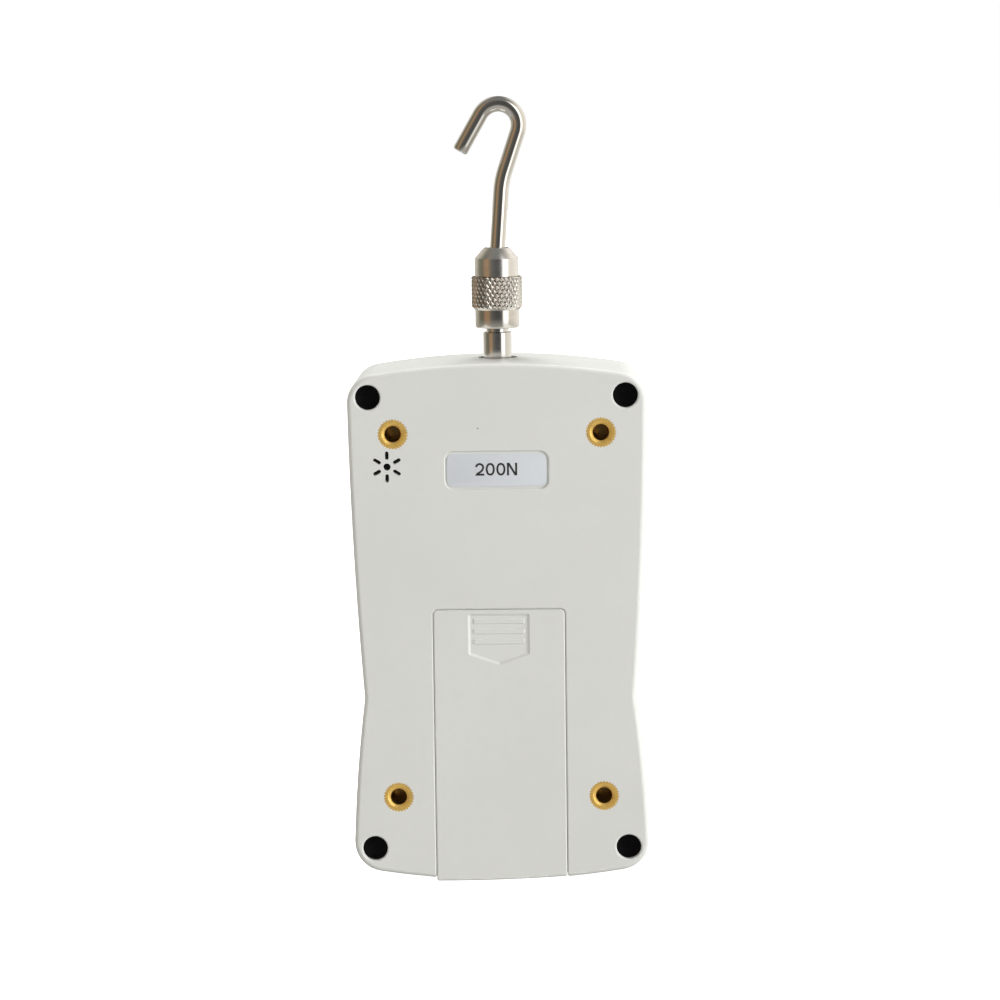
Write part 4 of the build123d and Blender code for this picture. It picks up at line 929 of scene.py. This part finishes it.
def sign(kind, cx, cz):
    w, y0, y1 = 0.42, CAP_Y - 0.01, CAP_Y + 0.02

    def at(pts):
        return [(cx - x, cz + z) for x, z in pts]

    if kind == "power":
        return [stroke(at(arc(0, -0.2, 1.75, 125, 415, 30)), w, y0, y1),
                stroke(at([(0, 0.3), (0, 2.2)]), w, y0, y1)]
    if kind == "zero":
        ring = [(1.15 * math.cos(t), 1.7 * math.sin(t))
                for t in [2 * math.pi * i / 32 for i in range(32)]]
        return [stroke(at(ring), w, y0, y1, True),
                stroke(at([(-4.2, 0), (-2.2, 0)]), w, y0, y1),
                prism(at([(-2.5, 0.75), (-1.7, 0), (-2.5, -0.75)]), y0, y1),
                stroke(at([(4.2, 0), (2.2, 0)]), w, y0, y1),
                prism(at([(2.5, 0.75), (1.7, 0), (2.5, -0.75)]), y0, y1)]
    if kind == "peak":
        curve = [(-3.6 + 7.2 * i / 40,
                  -1.4 + 2.7 * math.exp(-((-3.6 + 7.2 * i / 40) / 1.05) ** 2)) for i in range(41)]
        return [stroke(at(curve), w, y0, y1),
                stroke(at([(-1.6, 1.95), (1.6, 1.95)]), w, y0, y1)]
    if kind == "unit":
        return [stroke(at([(-3.0, 0.8), (2.2, 0.8)]), w, y0, y1),
                prism(at([(2.0, 1.6), (3.2, 0.8), (2.0, 0.0)]), y0, y1),
                stroke(at([(3.0, -0.8), (-2.2, -0.8)]), w, y0, y1),
                prism(at([(-2.0, -0.0), (-3.2, -0.8), (-2.0, -1.6)]), y0, y1)]
    if kind == "set":
        out = [stroke(at([(1.0 * math.cos(t), 1.0 * math.sin(t))
                          for t in [2 * math.pi * i / 28 for i in range(28)]]), w, y0, y1, True)]
        for i in range(8):
            t = 2 * math.pi * i / 8
            out.append(stroke(at([(1.35 * math.cos(t), 1.35 * math.sin(t)),
                                  (2.1 * math.cos(t), 2.1 * math.sin(t))]), 0.62, y0, y1))
        return out
    return [stroke(at([(-1.9, -1.7), (-1.9, 1.7), (0.4, 1.7)]), w, y0, y1),
            stroke(at([(-1.9, -1.7), (0.4, -1.7)]), w, y0, y1),
            stroke(at([(-0.9, 0), (2.4, 0)]), w, y0, y1),
            prism(at([(2.2, 0.95), (3.5, 0), (2.2, -0.95)]), y0, y1)]


for kind, (cx, cz) in KY.items():
    mesh_piece("sign_" + kind, *join(sign(kind, cx, cz)), "key_" + kind, WHITEINK, None, 40)
# thin printed frame of the keypad film
mesh_piece("keypad_frame_print",
           *band(round_rect(0, -20.5, 55.6, 34.6, 3.2, 10),
                 round_rect(0, -20.5, 55.0, 34.0, 2.9, 10), 35.99, 36.02),
           "case", WHITEINK, None, 40)

# -------------------------------------------------------------- battery pack
CELL_R, PACK_Y, PACK_Z0, PACK_Z1 = 5.25, 14.6, -64.4, -18.4


def pack_outline(grow=0.0, dip=0.55):
    """Film round two rows of three cells, drawn in between them."""
    pts = []
    hx, hy, r = 10.5, 5.25, CELL_R + grow
    for sx, sy, a0 in ((1, 1, 0), (-1, 1, 90), (-1, -1, 180), (1, -1, 270)):
        for i in range(13):
            a = math.radians(a0 + 90 * i / 12)
            pts.append((sx * hx + r * math.cos(a), sy * hy + r * math.sin(a)))
        if a0 in (0, 180):
            side = 1 if a0 == 0 else -1
            for i in range(1, 24):
                x = side * (hx - 2 * hx * i / 24)
                pts.append((x, side * (hy + r - dip * (1 - abs(math.cos(math.pi * x / 10.5))) ** 1.0)))
        else:
            side = -1 if a0 == 90 else 1
            for i in range(1, 12):
                y = side * -1 * (-hy + 2 * hy * i / 12) * -1
                pts.append((side * (hx + r - dip * (1 - abs(math.sin(math.pi * y / 10.5))) ** 1.0), y))
    return pts


def pack_mesh():
    rows = [(-0.95, PACK_Z0 + 0.02), (-0.9, PACK_Z0 + 0.0), (-0.35, PACK_Z0 + 0.02),
            (-0.12, PACK_Z0 + 0.25), (-0.02, PACK_Z0 + 0.8)]
    n_mid = 22
    for i in range(1, n_mid):
        z = PACK_Z0 + 0.8 + (PACK_Z1 - PACK_Z0 - 1.6) * i / n_mid
        rows.append((-0.02 - 0.05 * (0.5 + 0.5 * math.sin(i * 1.7)), z))
    rows += [(-0.02, PACK_Z1 - 0.8), (-0.12, PACK_Z1 - 0.25), (-0.35, PACK_Z1 - 0.02),
             (-0.9, PACK_Z1), (-0.95, PACK_Z1 - 0.02)]
    verts, faces = [], []
    rings = []
    for grow, z in rows:
        pts = pack_outline(grow)
        rings.append([len(verts) + i for i in range(len(pts))])
        verts += [(x, PACK_Y + y, z) for x, y in pts]
    n = len(rings[0])
    for lo, hi in zip(rings, rings[1:]):
        for i in range(n):
            k = (i + 1) % n
            faces.append((lo[i], lo[k], hi[k], hi[i]))
    faces.append(tuple(reversed(rings[0])))
    faces.append(tuple(rings[-1]))
    return verts, faces


mesh_piece("battery_film", *pack_mesh(), "case", WRAP, "battery_wrap", 35, ["battery_pack"])
cells = []
for cx in (-10.5, 0.0, 10.5):
    for cy in (PACK_Y - 5.25, PACK_Y + 5.25):
        for z, s in ((PACK_Z1, 1), (PACK_Z0, -1)):
            prof = [(0.0, z + s * 0.02), (1.9, z + s * 0.02), (2.1, z + s * 0.0), (3.6, z + s * 0.0),
                    (3.9, z - s * 0.08), (3.9, z - s * 0.3), (0.0, z - s * 0.3)]
            part = revolve(prof, 40, up_axis(cx, cy), None, False)
            cells.append(flip(part) if s > 0 else part)
mesh_piece("battery_cell_ends", *join(cells), "case", CELLSTEEL, "tinned_steel", 30)


def plate3(x0, x1, y0, y1, z0, z1):
    v = [(x, y, z) for z in (z0, z1) for y in (y0, y1) for x in (x0, x1)]
    f = [(0, 2, 3, 1), (4, 5, 7, 6), (0, 1, 5, 4), (2, 6, 7, 3), (0, 4, 6, 2), (1, 3, 7, 5)]
    return v, f


def soft_box(x0, x1, y0, y1, z0, z1, c):
    """A box with its corners cut in the plane across Z and its rims eased."""
    def loop(inset):
        a, b, e, g = x0 + inset, x1 - inset, y0 + inset, y1 - inset
        return [(a + c, e), (b - c, e), (b, e + c), (b, g - c), (b - c, g), (a + c, g), (a, g - c),
                (a, e + c)]
    verts, faces = [], []
    k = c * 0.4
    for inset, z in ((k, z0), (0, z0 + k), (0, z1 - k), (k, z1)):
        verts += [(x, y, z) for x, y in loop(inset)]
    for r in range(3):
        for i in range(8):
            j = (i + 1) % 8
            faces.append((8 * r + i, 8 * r + j, 8 * r + 8 + j, 8 * r + 8 + i))
    faces.append(tuple(reversed(range(8))))
    faces.append(tuple(range(24, 32)))
    return verts, faces


strips = [soft_box(-13.0, 2.5, PACK_Y - 7.2, PACK_Y - 3.3, PACK_Z1 + 0.02, PACK_Z1 + 0.16, 0.6),
          soft_box(-13.0, 2.5, PACK_Y + 3.3, PACK_Y + 7.2, PACK_Z1 + 0.02, PACK_Z1 + 0.16, 0.6),
          soft_box(-13.0, -8.6, PACK_Y - 7.4, PACK_Y + 7.4, PACK_Z0 - 0.16, PACK_Z0 - 0.02, 0.6),
          soft_box(-2.2, 13.0, PACK_Y - 7.2, PACK_Y - 3.3, PACK_Z0 - 0.16, PACK_Z0 - 0.02, 0.6)]
mesh_piece("battery_strips", *join(strips), "case", NICKEL, "tinned_steel", 30)


# battery leads, one of each colour
def lead(name, x, material, slot):
    pts = [Vector((x, 14.5, -9.0))]
    r = 2.9
    corner = Vector((x, 8.0, -9.0))
    pts.append(Vector((x, corner.y + r, -9.0)))
    for i in range(1, 13):
        a = math.pi / 2 * i / 12
        pts.append(Vector((x, corner.y + r - r * math.sin(a), -9.0 - r + r * math.cos(a))))
    for i in range(1, 6):
        pts.append(Vector((x, 8.0, -11.9 - 6.5 * i / 5)))
    verts, faces, rings = [], [], []
    for i, p in enumerate(pts):
        t = (pts[min(i + 1, len(pts) - 1)] - pts[max(i - 1, 0)]).normalized()
        side = Vector((1, 0, 0))
        other = t.cross(side).normalized()
        ring = []
        for k in range(20):
            a = 2 * math.pi * k / 20
            ring.append(len(verts))
            verts.append(tuple(p + side * 0.65 * math.cos(a) + other * 0.65 * math.sin(a)))
        rings.append(ring)
    for lo, hi in zip(rings, rings[1:]):
        for k in range(20):
            m = (k + 1) % 20
            faces.append((lo[k], lo[m], hi[m], hi[k]))
    faces.append(tuple(reversed(rings[0])))
    faces.append(tuple(rings[-1]))
    return mesh_piece(name, verts, faces, "case", material, slot, 40)


red_lead = lead("battery_lead_red", 7.8, RED, "wire_red")
lead("battery_lead_black", 10.2, DARK, "wire_black")
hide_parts("battery_lead")


# -------------------------------------------------------------------- stage
def floor():
    n = 96
    verts = [(0, 0, 0)] + [(4 * math.cos(2 * math.pi * i / n), 4 * math.sin(2 * math.pi * i / n), 0)
                           for i in range(n)]
    faces = [(0, i + 1, (i + 1) % n + 1) for i in range(n)]
    me = bpy.data.meshes.new("floor")
    me.from_pydata(verts, [], faces)
    o = bpy.data.objects.new("floor", me)
    scene.collection.objects.link(o)
    o.location.z = cad_lo.z - 0.0001
    mat = bpy.data.materials.new("floor_paper")
    mat.use_nodes = True
    t = mat.node_tree
    b = t.nodes["Principled BSDF"]
    b.inputs["Base Color"].default_value = (0.93, 0.93, 0.925, 1)
    b.inputs["Roughness"].default_value = 0.9
    b.inputs["Specular IOR Level"].default_value = 0.1
    b.inputs["Emission Color"].default_value = (1, 1, 1, 1)
    b.inputs["Emission Strength"].default_value = 1.0
    geo = t.nodes.new("ShaderNodeNewGeometry")
    through = t.nodes.new("ShaderNodeBsdfTransparent")
    mixer = t.nodes.new("ShaderNodeMixShader")
    t.links.new(geo.outputs["Backfacing"], mixer.inputs[0])
    t.links.new(b.outputs[0], mixer.inputs[1])
    t.links.new(through.outputs[0], mixer.inputs[2])
    t.links.new(mixer.outputs[0], t.nodes["Material Output"].inputs[0])
    me.materials.append(mat)
    o.visible_diffuse = False
    o.visible_glossy = False


floor()


def area(name, at, look, size, watts, colour=(1, 1, 1), glossy=True, size_y=None):
    data = bpy.data.lights.new(name, "AREA")
    data.energy, data.color = watts, colour
    data.shape = "RECTANGLE"
    data.size, data.size_y = size, size_y or size
    o = bpy.data.objects.new(name, data)
    scene.collection.objects.link(o)
    o.location = at
    o.rotation_mode = "QUATERNION"
    o.rotation_quaternion = (Vector(look) - Vector(at)).to_track_quat("-Z", "Y")
    o.visible_camera = False
    o.visible_glossy = glossy
    return o


area("key", (1.08, -0.42, 0.16), (0, 0, 0.0), 0.40, 9.75, (1.0, 0.995, 0.985), glossy=False)
area("fill_left", (-0.95, -0.65, 0.22), (0, 0, 0.0), 0.6, 3.1, (0.985, 0.99, 1.0), glossy=False)
area("front", (0.0, -1.35, 0.45), (0, 0, 0.0), 0.8, 3.7, (1, 1, 1), glossy=False)
area("top", (-0.04, 0.42, 0.95), (0, 0, 0.0), 0.7, 10.3, (1, 1, 1), glossy=False)
area("fill_display", (0.35, 1.1, 0.45), (0, 0, 0.0), 0.7, 0.6, (1, 1, 1), glossy=False)


def surroundings():
    """A white cove with a window to the right of the viewer, darker room and
    wood tones behind the viewer."""
    world = bpy.data.worlds.new("studio")
    scene.world = world
    world.use_nodes = True
    t = world.node_tree
    t.nodes.clear()
    out = t.nodes.new("ShaderNodeOutputWorld")
    room = t.nodes.new("ShaderNodeBackground")
    white = t.nodes.new("ShaderNodeBackground")
    mixer = t.nodes.new("ShaderNodeMixShader")
    path = t.nodes.new("ShaderNodeLightPath")
    coord = t.nodes.new("ShaderNodeTexCoord")
    sep = t.nodes.new("ShaderNodeSeparateXYZ")
    t.links.new(coord.outputs["Generated"], sep.inputs[0])
    neg = t.nodes.new("ShaderNodeMath")
    neg.operation = "MULTIPLY"
    neg.inputs[1].default_value = -1.0
    t.links.new(sep.outputs[1], neg.inputs[0])
    ang = t.nodes.new("ShaderNodeMath")
    ang.operation = "ARCTAN2"
    t.links.new(sep.outputs[0], ang.inputs[0])
    t.links.new(neg.outputs[0], ang.inputs[1])
    turn = t.nodes.new("ShaderNodeMapRange")
    turn.inputs["From Min"].default_value = -math.pi
    turn.inputs["From Max"].default_value = math.pi
    t.links.new(ang.outputs[0], turn.inputs["Value"])

    def ramp(source, stops):
        n = t.nodes.new("ShaderNodeValToRGB")
        e = n.color_ramp.elements
        while len(e) > 1:
            e.remove(e[-1])
        for i, (pos, col) in enumerate(stops):
            s = e[0] if i == 0 else e.new(pos)
            s.position, s.color = pos, (*col, 1.0)
        t.links.new(source, n.inputs[0])
        return n.outputs["Color"]

    def deg(a):
        return (a + 180.0) / 360.0

    around = ramp(turn.outputs["Result"], [
        (deg(-180), (0.20, 0.19, 0.17)), (deg(-169), (0.24, 0.23, 0.20)),
        (deg(-160), (0.98, 0.94, 0.86)), (deg(-125), (0.75, 0.70, 0.60)),
        (deg(-100), (0.28, 0.27, 0.20)), (deg(-76), (0.22, 0.21, 0.16)),
        (deg(-66), (0.50, 0.33, 0.20)), (deg(-45), (0.55, 0.35, 0.20)),
        (deg(-32), (0.22, 0.205, 0.18)), (deg(-12), (0.14, 0.14, 0.135)),
        (deg(6), (0.105, 0.105, 0.103)), (deg(29), (0.17, 0.17, 0.165)),
        (deg(38), (2.65, 2.65, 2.62)), (deg(59), (2.65, 2.65, 2.62)),
        (deg(67), (1.15, 1.08, 0.97)), (deg(90), (1.22, 1.15, 1.04)),
        (deg(130), (1.42, 1.37, 1.28)), (deg(160), (1.45, 1.40, 1.31)),
        (deg(169), (0.24, 0.23, 0.20)), (deg(180), (0.20, 0.19, 0.17))])
    height = ramp(sep.outputs[2], [(0.0, (0.0, 0.0, 0.0)), (1.0, (1.0, 1.0, 1.0))])
    lift = t.nodes.new("ShaderNodeMapRange")
    lift.inputs["From Min"].default_value = 0.62
    lift.inputs["From Max"].default_value = 0.93
    t.links.new(sep.outputs[2], lift.inputs["Value"])
    over = t.nodes.new("ShaderNodeMix")
    over.data_type = "RGBA"
    t.links.new(lift.outputs["Result"], over.inputs[0])
    t.links.new(around, over.inputs[6])
    over.inputs[7].default_value = (0.30, 0.30, 0.29, 1.0)
    drop = t.nodes.new("ShaderNodeMapRange")
    drop.inputs["From Min"].default_value = -0.15
    drop.inputs["From Max"].default_value = -0.55
    t.links.new(sep.outputs[2], drop.inputs["Value"])
    under = t.nodes.new("ShaderNodeMix")
    under.data_type = "RGBA"
    t.links.new(drop.outputs["Result"], under.inputs[0])
    t.links.new(over.outputs[2], under.inputs[6])
    under.inputs[7].default_value = (0.62, 0.61, 0.58, 1.0)
    t.links.new(under.outputs[2], room.inputs["Color"])
    room.inputs["Strength"].default_value = 0.70
    white.inputs["Color"].default_value = (1, 1, 1, 1)
    white.inputs["Strength"].default_value = 1.0
    t.links.new(path.outputs["Is Camera Ray"], mixer.inputs[0])
    t.links.new(room.outputs[0], mixer.inputs[1])
    t.links.new(white.outputs[0], mixer.inputs[2])
    t.links.new(mixer.outputs[0], out.inputs[0])
    t.nodes.remove(height.node)


surroundings()
